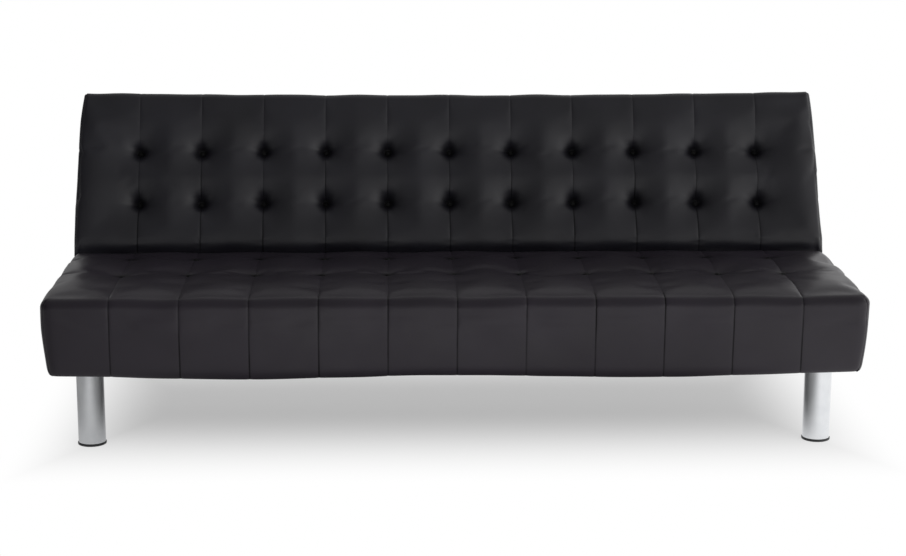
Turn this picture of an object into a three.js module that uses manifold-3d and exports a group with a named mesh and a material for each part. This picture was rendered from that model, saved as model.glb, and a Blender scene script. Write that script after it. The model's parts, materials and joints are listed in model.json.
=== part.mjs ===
// Click clack sofa bed in black faux leather on four chrome legs.
// Millimetres, +Z up, the front towards -Y. The sofa is built with Y = 0 at the seat's front face,
// and the finished group is moved so that its origin lies on the floor under the middle of its box.
import * as THREE from 'three';
import { mergeVertices } from 'three/addons/utils/BufferGeometryUtils.js';
import Module from 'manifold-3d';

const wasm = await Module();
wasm.setup();

// General clearances
const touch = 0.3; // between pieces that lie against each other
const runningGap = 0.7; // between faces that slide past each other
const overrun = 5; // how far a cut runs past the face that it opens

// Sides of the round pieces
const legSides = 24;
const pinSides = 16;
const boltSides = 12;
const hexSides = 6;
const buttonSides = 8;
const wireSides = 5;
const twineSides = 3;
const turnSteps = 8; // along one turn or wave of a spring
const arcSteps = 5;

// Seat upholstery
const panelCount = 12;
const panelWidth = 150; // between two seams
const endTrim = 2; // the end panels are this much narrower
const seatWidth = panelCount * panelWidth - 2 * endTrim;
const seatDepth = 522;
const seatHeight = 350;
const seatBoxHeight = 174; // from the lower edge of the borders to the top
const seatClearance = seatHeight - seatBoxHeight;
const seatFoam = 88;
const seatFrontRadius = 42;
const seatRearRadius = 34;
const seatEndRadius = 30;
const seatTuftSetback = 100; // the rear row, from the rear face
const seatTuftPitch = 177; // between the rows
const frontBorder = 16;
const endBorder = 18;
const endBorderFoot = 8; // what is left of it at its lower edge
const endBorderBulge = 13; // how far its widest line lies below its top
const endBorderWaist = 4; // how far it falls in at half its height

// Tufts, channels and buttons
const crownRise = 8;
const channelDepth = 9;
const channelReach = 14; // half the width of a channel, and of the flat bottom of a tuft
const tuftDepth = 17;
const tuftReach = 46; // how far a tuft pulls the leather down beyond its bottom
const sideTuck = 5; // the lower edge of a cushion's sides draws in this much
const crestShares = [0.31, 0.69]; // where the crest of a panel begins and ends
const cornerShare = 0.72; // how far a corner reaches out, as a share of the edge's radius
const buttonRadius = 12;
const buttonHeight = 6.5;
const buttonShoulder = 4.5;
const buttonShoulderRadius = 9;
const buttonLift = 0.7;
const twineRadius = 0.9;
const twineHole = 1.9;
const tieWidth = 20;
const tieThickness = 1.2;

// Timber seat frame, its springs and dust cover
const seatBoard = 22;
const coverAllowance = 3; // leather and wadding over the rear rail
const borderHem = 2; // the borders reach this far below the frame
const springCount = 6;
const springSpacing = 262;
const springWire = 3.8;
const springSwing = 44;
const springWaves = 6;
const springArch = 7;
const springDrop = 13.5; // from the top of the frame to the springs' ends
const dustCover = 1;
const dustInset = 4;

// Steel base frame
const railSize = 30;
const railWall = 2;
const railInset = 92; // from the seat's end to the middle of the side rail

// Legs and glides
const legRadius = 30;
const legWall = 2;
const legPlateWidth = 90;
const legPlateThickness = 5;
const frontLegSetback = 85;
const rearLegReach = 145; // behind the hinge pivots
const glideRadius = 31.5;
const glideHeight = 5;
const glidePlug = 16;

// Back
const backLean = THREE.MathUtils.degToRad(25.4); // from upright, as sat on
const backInset = 1; // each end, against the seat
const backLength = 418;
const backFoam = 78;
const backEdgeRadius = 28;
const backCornerDraw = 10; // the top corners draw in this much
const cornerDrawShare = 0.62; // the share of the length below which they don't
const backTuftRows = [135, 264]; // from the lower edge
const backBoard = 36;
const backBoardInset = 12;
const backBoardWidth = 50;
const backCoverThickness = 2;
const backEdgeAllowance = 3;
const postWidth = 50;
const webbingWidth = 60;
const webbingThickness = 1.3;
const webbingLap = 22;
const webbingPlaces = [200, 325]; // from the lower edge

// Click clack hinges
const hingeSetback = 33; // pivot behind the seat's rear face
const hingeDepth = 60; // pivot below the sitting surfaces
const backStart = 20; // from the pivot to the back's lower edge
const cheekThickness = 5;
const cheekRadius = 16;
const cheekFrontGap = 4; // to the seat's rear face
const bracketFloor = 5;
const bracketFoot = 80;
const armThickness = 6;
const armHub = 13;
const armWidth = 28;
const armLength = 190;
const armSetback = 6; // from the foam
const springBay = 8.5;
const pivotRadius = 6;
const pivotHeadRadius = 9.5;
const pivotHead = 4;
const holePlay = 0.3;
const ratchetThickness = 5.5;
const ratchetRadius = 26;
const toothDepth = 5.5;
const ratchetTrim = 2; // its flat stays this far below the back
const sitAngle = 0;
const reclineAngle = -32;
const flatAngle = -64.6;
const notchHalfAngle = 10.3;
const releaseAngle = 10.6; // the sitting notch is wider by this, for lifting the back to release it
const pawlPinRadius = 3;
const pawlPinHead = 5;
const pawlPinHeadHeight = 2.5;
const pawlHub = 7;
const pawlPinForward = 21; // from the hinge pivot
const pawlBar = 4.6;
const pawlBarDrop = 0.7;
const pawlNose = 6;
const pawlNoseTop = 5;
const pawlNoseRise = 4.6;
const pawlRestAngle = THREE.MathUtils.degToRad(-16); // lifted clear of the teeth, as between two clicks
const stopWidth = 8;
const stopDepth = 12;
const stopLap = 13; // how far the arm's corner lies against the stop, folded down as a bed
const pawlSpringWire = 1.2;
const pawlSpringRadius = 4.3;
const pawlSpringTurns = 3;
const boltRadius = 4;
const boltReach = 34;
const boltHeadRadius = 7;
const boltHead = 5;
const boltEndMargin = 26; // from the outer bolt to the arm's end
const boltStandoff = 23; // from the lower board to the inner bolt

// Places worked out from these sizes
const halfSeat = seatWidth / 2;
const rearTuftRow = seatDepth - seatTuftSetback;
const seatTuftRows = [rearTuftRow - seatTuftPitch, rearTuftRow]; // from the front face
const backWidth = seatWidth - 2 * backInset;
const halfBack = backWidth / 2;
const foamBottom = seatHeight - seatFoam;
const frameTop = foamBottom - touch;
const frameBottom = seatClearance + borderHem;
const railX = halfSeat - railInset;
const railTop = frameBottom + railSize;
const frontRailFace = frontBorder + touch;
const frontRailInner = frontRailFace + seatBoard;
const rearRailFace = seatDepth - coverAllowance;
const rearRailInner = rearRailFace - seatBoard;
const sideRailOuter = halfSeat - endBorder - touch;
const sideRailInner = sideRailOuter - seatBoard;
const crossRailEnd = frontRailInner + touch + railSize;
const plateTop = frameBottom - touch;
const hingeY = seatDepth + hingeSetback;
const hingeZ = seatHeight - hingeDepth;
const rearLegSetback = hingeY + rearLegReach;
const pawlPinY = hingeY - pawlPinForward;
const pawlPinZ = hingeZ - ratchetRadius;
const clevisSpace = springBay + armThickness + touch + ratchetThickness + runningGap;
const cheekInner = clevisSpace / 2;
const cheekOuter = cheekInner + cheekThickness;
const armInner = springBay - cheekInner;
const armOuter = armInner + armThickness;
const ratchetInner = armOuter + touch;
const foamRear = backFoam - hingeDepth;
const boardFace = foamRear + tieThickness + 2 * touch;
const boardRear = boardFace + backBoard;
const armBarFace = foamRear + armSetback;
const boardLow = backStart + backEdgeAllowance;
const boardHigh = backStart + backLength - backEdgeAllowance;
const innerBolt = boardLow + backBoardWidth + boltStandoff;
const boltPlaces = [innerBolt, armLength - boltEndMargin]; // from the pivot along the back
const sideBoardInner = railX + armOuter + touch;
const sideBoardOuter = halfBack - backBoardInset;

const seams = [];
for (let i = 1; i < panelCount; i += 1) {
  seams.push((i - panelCount / 2) * panelWidth);
}

// Finishes
const finishes = {
  leather: { color: '#29292d', roughness: 0.45, metalness: 0 },
  chrome: { color: '#dcdee0', roughness: 0.15, metalness: 1 },
  plastic: { color: '#1c1c1e', roughness: 0.55, metalness: 0 },
  paintedSteel: { color: '#202124', roughness: 0.5, metalness: 0.4 },
  zincSteel: { color: '#a9adb0', roughness: 0.4, metalness: 1 },
  springSteel: { color: '#7d8084', roughness: 0.45, metalness: 1 },
  timber: { color: '#c8a878', roughness: 0.75, metalness: 0 },
  cloth: { color: '#1d1d1f', roughness: 0.95, metalness: 0 },
  webbing: { color: '#3a3a3c', roughness: 0.9, metalness: 0 },
};

const sofa = new THREE.Group();
const back = new THREE.Group();
back.position.set(0, hingeY, hingeZ);
back.rotation.x = -backLean;
sofa.add(back);

function add(group, name, finish, geometry) {
  const material = new THREE.MeshStandardMaterial({ ...finishes[finish], flatShading: true });
  const mesh = new THREE.Mesh(geometry, material);
  mesh.name = name;
  group.add(mesh);
  return mesh;
}

// Solids
function weld(geometry) {
  geometry.deleteAttribute('normal');
  geometry.deleteAttribute('uv');
  return mergeVertices(geometry);
}

function toSolid(geometry) {
  const welded = weld(geometry);
  const vertProperties = new Float32Array(welded.attributes.position.array);
  const triVerts = new Uint32Array(welded.index.array);
  return new wasm.Manifold(new wasm.Mesh({ numProp: 3, vertProperties, triVerts }));
}

function toGeometry(solid) {
  const mesh = solid.getMesh();
  const geometry = new THREE.BufferGeometry();
  geometry.setAttribute('position', new THREE.BufferAttribute(new Float32Array(mesh.vertProperties), 3));
  geometry.setIndex(new THREE.BufferAttribute(new Uint32Array(mesh.triVerts), 1));
  return geometry;
}

function cut(geometry, ...cutters) {
  let solid = toSolid(geometry);
  for (const cutter of cutters) solid = solid.subtract(toSolid(cutter));
  return toGeometry(solid);
}

function join(geometry, ...others) {
  let solid = toSolid(geometry);
  for (const other of others) solid = solid.add(toSolid(other));
  return toGeometry(solid);
}

function mirrored(geometry) {
  const copy = weld(geometry.clone()).scale(-1, 1, 1);
  const { index } = copy;
  for (let i = 0; i < index.count; i += 3) {
    const first = index.getX(i);
    index.setX(i, index.getX(i + 1));
    index.setX(i + 1, first);
  }
  return copy;
}

function block(x0, x1, y0, y1, z0, z1) {
  const box = new THREE.BoxGeometry(x1 - x0, y1 - y0, z1 - z0);
  return box.translate((x0 + x1) / 2, (y0 + y1) / 2, (z0 + z1) / 2);
}

function outline(points) {
  return new THREE.Shape(points.map(([a, b]) => new THREE.Vector2(a, b)));
}

// A plate whose outline lies in the YZ plane, between two places along X.
function sidePlate(shape, x0, x1, curveSegments = arcSteps) {
  const plate = new THREE.ExtrudeGeometry(shape, { depth: x1 - x0, bevelEnabled: false, curveSegments });
  const turn = new THREE.Matrix4().makeBasis(
    new THREE.Vector3(0, 1, 0),
    new THREE.Vector3(0, 0, 1),
    new THREE.Vector3(1, 0, 0),
  );
  return plate.applyMatrix4(turn).translate(x0, 0, 0);
}

// A plate whose outline lies in the XY plane, between two heights.
function flatPlate(shape, z0, z1) {
  const plate = new THREE.ExtrudeGeometry(shape, { depth: z1 - z0, bevelEnabled: false });
  return plate.translate(0, 0, z0);
}

// A round bar along X, centred on a place in the YZ plane.
function roundBar(radius, x0, x1, y, z, sides) {
  const bar = new THREE.CylinderGeometry(radius, radius, x1 - x0, sides);
  return bar.rotateZ(Math.PI / 2).translate((x0 + x1) / 2, y, z);
}

// A square steel tube between two corners, hollow along its length.
function squareTube(x0, x1, y0, y1, z0, z1, alongX) {
  const tube = block(x0, x1, y0, y1, z0, z1);
  const bore = alongX
    ? block(x0 - overrun, x1 + overrun, y0 + railWall, y1 - railWall, z0 + railWall, z1 - railWall)
    : block(x0 + railWall, x1 - railWall, y0 - overrun, y1 + overrun, z0 + railWall, z1 - railWall);
  return cut(tube, bore);
}

// Tufted cushions. Each is built flat: X across, Y along its length, Z up from its flat underside.
const seatForm = {
  width: seatWidth,
  length: seatDepth,
  thickness: seatFoam,
  startRadius: seatFrontRadius,
  finishRadius: seatRearRadius,
  endRadius: seatEndRadius,
  tuftRows: seatTuftRows,
  cornerDraw: 0,
};

const backForm = {
  width: backWidth,
  length: backLength,
  thickness: backFoam,
  startRadius: backEdgeRadius,
  finishRadius: backEdgeRadius,
  endRadius: backEdgeRadius,
  tuftRows: backTuftRows,
  cornerDraw: backCornerDraw,
};

function columnPlaces(form) {
  const first = form.endRadius - form.width / 2;
  const places = [first];
  for (let i = 0; i < panelCount; i += 1) {
    const seam = (i - panelCount / 2) * panelWidth;
    if (i > 0) places.push(seam - channelReach, seam, seam + channelReach);
    for (const share of crestShares) places.push(seam + share * panelWidth);
  }
  places.push(-first);
  return places;
}

function rowPlaces(form) {
  const places = [form.startRadius];
  for (const [i, row] of form.tuftRows.entries()) {
    if (i > 0) places.push((form.tuftRows[i - 1] + row) / 2);
    places.push(row - channelReach, row, row + channelReach);
  }
  places.push(form.length - form.finishRadius);
  return places;
}

function seamDistance(x) {
  return Math.min(...seams.map((seam) => Math.abs(x - seam)));
}

function channelDip(x) {
  return channelDepth * Math.exp(-((seamDistance(x) / channelReach) ** 2));
}

// Height of the crowned face: the crown falls towards the edges, the channels and tufts are drawn in.
function faceHeight(form, x, y) {
  const across = (2 * x) / form.width;
  const along = (2 * y) / form.length - 1;
  const fall = crownRise * Math.max(across ** 4, along ** 4);
  const rowDistance = Math.min(...form.tuftRows.map((row) => Math.abs(y - row)));
  const reach = Math.max(0, Math.max(seamDistance(x), rowDistance) - channelReach);
  const pull = Math.exp(-((reach / tuftReach) ** 2));
  return form.thickness - fall - tuftDepth * pull - channelDip(x) * (1 - pull);
}

function drawIn(form, y) {
  const above = Math.max(0, y / form.length - cornerDrawShare) / (1 - cornerDrawShare);
  return form.cornerDraw * above ** 2;
}

// The loop round the crowned face: each point with the direction in which the side leaves it.
function borderLoop(columns, rows) {
  const last = columns.length - 1;
  const top = rows.length - 1;
  const loop = [];
  for (let i = 0; i < last; i += 1) loop.push({ i, j: 0, x: i === 0 ? -1 : 0, y: -1 });
  for (let j = 0; j < top; j += 1) loop.push({ i: last, j, x: 1, y: j === 0 ? -1 : 0 });
  for (let i = last; i > 0; i -= 1) loop.push({ i, j: top, x: i === last ? 1 : 0, y: 1 });
  for (let j = top; j > 0; j -= 1) loop.push({ i: 0, j, x: -1, y: j === top ? 1 : 0 });
  return loop;
}

function tuftedCushion(form) {
  const columns = columnPlaces(form);
  const rows = rowPlaces(form);
  const count = columns.length;
  const points = [];
  for (const y of rows) {
    for (const x of columns) {
      const end = Math.abs(x) > form.width / 2 - panelWidth / 2 ? Math.sign(x) : 0;
      points.push(new THREE.Vector3(x - end * drawIn(form, y), y, faceHeight(form, x, y)));
    }
  }
  const triangles = [];
  for (let j = 0; j < rows.length - 1; j += 1) {
    for (let i = 0; i < count - 1; i += 1) {
      const a = j * count + i;
      triangles.push(a, a + 1, a + count + 1, a, a + count + 1, a + count);
    }
  }

  // Rings down the side: half round the edge, its widest line, and the tucked lower edge.
  const loop = borderLoop(columns, rows);
  const rings = [
    { out: Math.SQRT1_2, down: 1 - Math.SQRT1_2, floor: false },
    { out: 1, down: 1, floor: false },
    { out: 1, down: 0, floor: true },
  ];
  let upper = loop.map(({ i, j }) => j * count + i);
  for (const ring of rings) {
    const lower = [];
    for (const { i, j, x, y } of loop) {
      const edge = points[j * count + i];
      const endRadius = y < 0 ? form.startRadius : form.finishRadius;
      const radius = y === 0 ? form.endRadius : endRadius;
      const corner = x !== 0 && y !== 0 ? cornerShare : 1;
      const tuck = ring.floor ? sideTuck : 0;
      const groove = y !== 0 && x === 0 ? channelDip(edge.x) : 0;
      const outX = x * (form.endRadius * ring.out * corner - tuck);
      const outY = y * (endRadius * ring.out * corner - tuck - groove);
      const height = ring.floor ? 0 : edge.z - radius * ring.down;
      lower.push(points.length);
      points.push(new THREE.Vector3(edge.x + outX, edge.y + outY, height));
    }
    for (let m = 0; m < loop.length; m += 1) {
      const n = (m + 1) % loop.length;
      triangles.push(upper[m], lower[m], lower[n], upper[m], lower[n], upper[n]);
    }
    upper = lower;
  }
  const underside = upper.map((k) => new THREE.Vector2(points[k].x, points[k].y));
  for (const [a, b, c] of THREE.ShapeUtils.triangulateShape(underside, [])) {
    triangles.push(upper[a], upper[c], upper[b]);
  }
  const geometry = new THREE.BufferGeometry().setFromPoints(points);
  geometry.setIndex(triangles);
  const hole = (x, y) => twine(x, y, twineHole, -overrun, form.thickness);
  return cut(geometry, ...form.tuftRows.flatMap((y) => seams.map((x) => hole(x, y))));
}

function twine(x, y, radius, z0, z1) {
  const bar = new THREE.CylinderGeometry(radius, radius, z1 - z0, twineSides);
  return bar.rotateX(Math.PI / 2).translate(x, y, (z0 + z1) / 2);
}

// One row of covered buttons, their twines through the foam and the tie strip that holds them.
function buttonRow(form, y) {
  const strip = block(
    seams[0] - tieWidth,
    seams[seams.length - 1] + tieWidth,
    y - tieWidth / 2,
    y + tieWidth / 2,
    -touch - tieThickness,
    -touch,
  );
  const profile = [
    new THREE.Vector2(0, 0),
    new THREE.Vector2(buttonRadius, 0),
    new THREE.Vector2(buttonShoulderRadius, buttonShoulder),
    new THREE.Vector2(0, buttonHeight),
  ];
  const pieces = seams.flatMap((x) => {
    const seat = faceHeight(form, x, y) + buttonLift;
    const button = new THREE.LatheGeometry(profile, buttonSides).rotateX(Math.PI / 2).translate(x, y, seat);
    return [button, twine(x, y, twineRadius, -touch - tieThickness / 2, seat + buttonHeight / 2)];
  });
  return join(strip, ...pieces);
}

function makeSeatUpholstery() {
  add(sofa, 'seat_cushion', 'leather', tuftedCushion(seatForm).translate(0, 0, foamBottom));
  const rowNames = ['seat_button_row_front', 'seat_button_row_rear'];
  for (const [i, name] of rowNames.entries()) {
    add(sofa, name, 'leather', buttonRow(seatForm, seatTuftRows[i]).translate(0, 0, foamBottom));
  }
  makeFrontBorder();
  for (const [name, side] of [['left', -1], ['right', 1]]) {
    add(sofa, `seat_end_border_${name}`, 'leather', endBorderSolid(side));
  }
}

// The front border carries the seat's channels down to its lower edge.
function makeFrontBorder() {
  const columns = columnPlaces(seatForm);
  const corner = seatEndRadius * (1 - cornerShare);
  const face = columns.map((x, i) => {
    const end = i === 0 || i === columns.length - 1;
    return [x, end ? corner : channelDip(x)];
  });
  const points = [[-halfSeat, frontBorder], ...face, [halfSeat, frontBorder]];
  add(sofa, 'seat_front_border', 'leather', flatPlate(outline(points), seatClearance, frameTop));
}

// An end border is thick at the top, where the seat bulges, and thin at its lower edge.
function endBorderSolid(side) {
  const inner = halfSeat - endBorder;
  const profile = [
    [inner, seatClearance],
    [inner + endBorderFoot, seatClearance],
    [halfSeat - endBorderWaist, (seatClearance + frameTop) / 2],
    [halfSeat, frameTop - endBorderBulge],
    [halfSeat, frameTop],
    [inner, frameTop],
  ];
  const y0 = frontBorder + touch;
  const plate = new THREE.ExtrudeGeometry(outline(profile), { depth: seatDepth - y0, bevelEnabled: false });
  plate.rotateX(Math.PI / 2).translate(0, seatDepth, 0);
  return side > 0 ? plate : mirrored(plate);
}

function makeSeatFrame() {
  const reach = sideRailOuter;
  const front = block(-reach, reach, frontRailFace, frontRailInner, frameBottom, frameTop);
  add(sofa, 'seat_frame_front', 'timber', front);
  const notches = [-1, 1].map((side) => {
    const middle = side * railX;
    const half = railSize / 2 + touch;
    const y1 = rearRailFace + overrun;
    const z0 = frameBottom - overrun;
    return block(middle - half, middle + half, rearRailInner - overrun, y1, z0, railTop + touch);
  });
  const rear = block(-reach, reach, rearRailInner, rearRailFace, frameBottom, frameTop);
  add(sofa, 'seat_frame_rear', 'timber', cut(rear, ...notches));
  for (const [name, side] of [['left', -1], ['right', 1]]) {
    const ends = [side * sideRailInner, side * sideRailOuter].sort((a, b) => a - b);
    const y0 = frontRailInner + touch;
    const y1 = rearRailInner - touch;
    add(sofa, `seat_frame_${name}`, 'timber', block(...ends, y0, y1, frameBottom, frameTop));
  }
}

// A sinuous spring swings from side to side along the seat's depth, and arches up in the middle.
class SinuousCurve extends THREE.Curve {
  constructor(x, y0, y1, z) {
    super();
    Object.assign(this, { x, y0, y1, z });
  }

  getPoint(t, target = new THREE.Vector3()) {
    const swing = (springSwing / 2) * Math.cos(2 * Math.PI * springWaves * t);
    const rise = springArch * Math.sin(Math.PI * t);
    return target.set(this.x - swing, this.y0 + (this.y1 - this.y0) * t, this.z + rise);
  }
}

function roundSection(radius, sides) {
  const points = [];
  for (let k = 0; k < sides; k += 1) {
    const angle = (2 * Math.PI * k) / sides;
    points.push(new THREE.Vector2(radius * Math.cos(angle), radius * Math.sin(angle)));
  }
  return new THREE.Shape(points);
}

function makeSeatSprings() {
  const y0 = frontRailInner + touch;
  const y1 = rearRailInner - touch;
  for (let i = 0; i < springCount; i += 1) {
    const x = (i - (springCount - 1) / 2) * springSpacing;
    const path = new SinuousCurve(x, y0, y1, frameTop - springDrop);
    const steps = springWaves * turnSteps;
    const section = roundSection(springWire / 2, wireSides);
    const wire = new THREE.ExtrudeGeometry(section, { extrudePath: path, steps });
    add(sofa, `seat_spring_${i + 1}`, 'springSteel', weld(wire));
  }
}

// The dust cover is stapled under the frame and cut away round the plates of the front legs.
function makeDustCover() {
  const x1 = sideRailOuter - dustInset;
  const y0 = frontRailFace + dustInset;
  const y1 = rearRailFace - dustInset;
  const notchX = railX - legPlateWidth / 2 - dustInset;
  const notchY = frontLegSetback + legPlateWidth / 2 + dustInset;
  const points = [
    [-notchX, y0],
    [notchX, y0],
    [notchX, notchY],
    [x1, notchY],
    [x1, y1],
    [-x1, y1],
    [-x1, notchY],
    [-notchX, notchY],
  ];
  const z1 = frameBottom - touch;
  add(sofa, 'seat_dust_cover', 'cloth', flatPlate(outline(points), z1 - dustCover, z1));
}

function makeBaseFrame() {
  const half = railSize / 2;
  const z0 = frameBottom;
  const z1 = railTop;
  const front = squareTube(
    touch - sideRailInner,
    sideRailInner - touch,
    frontRailInner + touch,
    crossRailEnd,
    z0,
    z1,
    true,
  );
  add(sofa, 'front_cross_rail', 'paintedSteel', front);
  const inner = railX - half - touch;
  const middleY = rearRailInner - touch - railSize;
  const middle = squareTube(-inner, inner, middleY, middleY + railSize, z0, z1, true);
  add(sofa, 'middle_cross_rail', 'paintedSteel', middle);
  const rear = squareTube(-inner, inner, rearLegSetback - half, rearLegSetback + half, z0, z1, true);
  add(sofa, 'rear_cross_rail', 'paintedSteel', rear);
  const end = rearLegSetback + legPlateWidth / 2;
  for (const [name, side] of [['left', -1], ['right', 1]]) {
    const x = side * railX;
    const tube = squareTube(x - half, x + half, crossRailEnd + touch, end, z0, z1, false);
    add(sofa, `side_rail_${name}`, 'paintedSteel', tube);
  }
}

// A leg is a chromed tube under a square plate. Its glide plugs the open lower end.
function makeLegs() {
  const plateBottom = plateTop - legPlateThickness;
  const tubeBottom = glideHeight + touch;
  const inner = legRadius - legWall;
  const tube = [
    new THREE.Vector2(inner, tubeBottom),
    new THREE.Vector2(legRadius, tubeBottom),
    new THREE.Vector2(legRadius, plateBottom + legWall),
    new THREE.Vector2(inner, plateBottom + legWall),
    new THREE.Vector2(inner, tubeBottom),
  ];
  const plug = inner - 2 * touch;
  const glide = [
    new THREE.Vector2(0, 0),
    new THREE.Vector2(glideRadius, 0),
    new THREE.Vector2(glideRadius, glideHeight),
    new THREE.Vector2(plug, glideHeight),
    new THREE.Vector2(plug, glideHeight + glidePlug),
    new THREE.Vector2(0, glideHeight + glidePlug),
  ];
  for (const [end, y] of [['front', frontLegSetback], ['rear', rearLegSetback]]) {
    for (const [name, side] of [['left', -1], ['right', 1]]) {
      const x = side * railX;
      const half = legPlateWidth / 2;
      const plate = block(x - half, x + half, y - half, y + half, plateBottom, plateTop);
      const round = new THREE.LatheGeometry(tube, legSides).rotateX(Math.PI / 2).translate(x, y, 0);
      add(sofa, `leg_${end}_${name}`, 'chrome', join(plate, round));
      const foot = new THREE.LatheGeometry(glide, legSides).rotateX(Math.PI / 2).translate(x, y, 0);
      add(sofa, `glide_${end}_${name}`, 'plastic', weld(foot));
    }
  }
}

// The back is built about the hinge pivot: Z up along it, Y from its front to its rear.
function standUp(geometry) {
  return geometry.rotateX(Math.PI / 2).translate(0, foamRear, backStart);
}

function makeBack() {
  add(back, 'back_cushion', 'leather', standUp(tuftedCushion(backForm)));
  const rowNames = ['back_button_row_lower', 'back_button_row_upper'];
  for (const [i, name] of rowNames.entries()) {
    add(back, name, 'leather', standUp(buttonRow(backForm, backTuftRows[i])));
  }
  for (const [name, side] of [['left', -1], ['right', 1]]) {
    const ends = [side * sideBoardInner, side * sideBoardOuter].sort((a, b) => a - b);
    const board = block(...ends, boardFace, boardRear, boardLow, boardHigh);
    add(back, `back_frame_${name}`, 'timber', cut(board, ...boltHoles(side)));
  }
  const lowEnd = railX + armInner - runningGap;
  const lowTop = boardLow + backBoardWidth;
  add(back, 'back_frame_bottom', 'timber', block(-lowEnd, lowEnd, boardFace, boardRear, boardLow, lowTop));
  const highEnd = sideBoardInner - touch;
  const highBottom = boardHigh - backBoardWidth;
  const top = block(-highEnd, highEnd, boardFace, boardRear, highBottom, boardHigh);
  add(back, 'back_frame_top', 'timber', top);
  const half = postWidth / 2;
  const post = block(-half, half, boardFace, boardRear, lowTop + touch, highBottom - touch);
  add(back, 'back_frame_post', 'timber', post);
  for (const [i, place] of webbingPlaces.entries()) {
    const reach = sideBoardInner + webbingLap;
    const middle = backStart + place;
    const y1 = boardFace - touch / 2;
    const low = middle - webbingWidth / 2;
    const band = block(-reach, reach, y1 - webbingThickness, y1, low, low + webbingWidth);
    add(back, `back_webbing_${i + 1}`, 'webbing', band);
  }
  const y0 = boardRear + touch;
  const cover = block(-sideBoardOuter, sideBoardOuter, y0, y0 + backCoverThickness, boardLow, boardHigh);
  add(back, 'back_rear_cover', 'cloth', cover);
}

function boltHoles(side) {
  const y = armBarFace + armWidth / 2;
  const ends = [side * (sideBoardInner - overrun), side * (sideBoardInner + boltReach)];
  const [x0, x1] = ends.sort((a, b) => a - b);
  return boltPlaces.map((z) => roundBar(boltRadius + holePlay, x0, x1, y, z, boltSides));
}

// Hinge pieces are drawn for the right side, with X from the middle of the side rail outwards.
function addBoth(group, name, finish, geometry) {
  const right = geometry.clone().translate(railX, 0, 0);
  add(group, `${name}_left`, finish, mirrored(right));
  add(group, `${name}_right`, finish, right);
}

function circleHole(y, z, radius, sides = pinSides) {
  const hole = new THREE.Path();
  for (let k = 0; k < sides; k += 1) {
    const angle = (-2 * Math.PI * k) / sides;
    const point = [y + radius * Math.cos(angle), z + radius * Math.sin(angle)];
    if (k === 0) hole.moveTo(...point);
    else hole.lineTo(...point);
  }
  hole.closePath();
  return hole;
}

// The bracket: a foot on the side rail, two cheeks for the pins and the stop for the bed position.
function makeBrackets() {
  const y0 = seatDepth + cheekFrontGap;
  const z0 = railTop + touch;
  const floorTop = z0 + bracketFloor;
  const cheek = new THREE.Shape();
  cheek.moveTo(y0, z0);
  cheek.lineTo(hingeY + cheekRadius, z0);
  cheek.lineTo(hingeY + cheekRadius, hingeZ);
  cheek.absarc(hingeY, hingeZ, cheekRadius, 0, Math.PI, false);
  cheek.lineTo(y0, pawlPinZ + pawlHub);
  cheek.closePath();
  cheek.holes.push(circleHole(hingeY, hingeZ, pivotRadius + holePlay));
  cheek.holes.push(circleHole(pawlPinY, pawlPinZ, pawlPinRadius + holePlay, boltSides));
  const stopRear = hingeY - armHub - touch;
  const stopTop = hingeZ - armBarFace - armWidth + stopLap;
  const bracket = join(
    block(-cheekOuter, cheekOuter, y0, y0 + bracketFoot, z0, floorTop),
    sidePlate(cheek, -cheekOuter, -cheekInner),
    sidePlate(cheek, cheekInner, cheekOuter),
    block(-stopWidth / 2, stopWidth / 2, stopRear - stopDepth, stopRear, z0, stopTop),
  );
  addBoth(sofa, 'hinge_bracket', 'paintedSteel', bracket);
}

// A pin through both cheeks, with its head outside one and its riveted washer outside the other.
function headedPin(radius, headRadius, headHeight, y, z) {
  const face = cheekOuter + touch;
  const shaft = roundBar(radius, -face - headHeight, face + headHeight / 2, y, z, pinSides);
  const head = roundBar(headRadius, face, face + headHeight, y, z, pinSides);
  const washer = roundBar(headRadius, -face - headHeight / 2, -face, y, z, pinSides);
  return join(shaft, head, washer);
}

function makePins() {
  const large = headedPin(pivotRadius, pivotHeadRadius, pivotHead, hingeY, hingeZ);
  addBoth(sofa, 'pivot_pin', 'zincSteel', large);
  const small = headedPin(pawlPinRadius, pawlPinHead, pawlPinHeadHeight, pawlPinY, pawlPinZ);
  addBoth(sofa, 'pawl_pin', 'zincSteel', small);
}

// The arm: a hub on the pivot, a leg across the back's lower end and a bar up inside its frame.
function makeArms() {
  const barRear = armBarFace + armWidth;
  const arm = new THREE.Shape();
  arm.absarc(0, 0, armHub, Math.PI / 2, (3 * Math.PI) / 2, false);
  arm.lineTo(barRear, -armHub);
  arm.lineTo(barRear, armLength);
  arm.lineTo(armBarFace, armLength);
  arm.lineTo(armBarFace, armHub);
  arm.closePath();
  const middle = armBarFace + armWidth / 2;
  arm.holes.push(circleHole(0, 0, pivotRadius + holePlay));
  for (const place of boltPlaces) {
    arm.holes.push(circleHole(middle, place, boltRadius + holePlay, boltSides));
  }
  addBoth(back, 'hinge_arm', 'paintedSteel', sidePlate(arm, armInner, armOuter));
  for (const [i, place] of boltPlaces.entries()) {
    const x0 = armInner - touch;
    const x1 = armOuter + boltReach;
    const shank = roundBar(boltRadius, x0 - boltHead / 2, x1, middle, place, boltSides);
    const head = roundBar(boltHeadRadius, x0 - boltHead, x0, middle, place, hexSides);
    addBoth(back, `arm_bolt_${i + 1}`, 'zincSteel', join(head, shank));
  }
}

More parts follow.
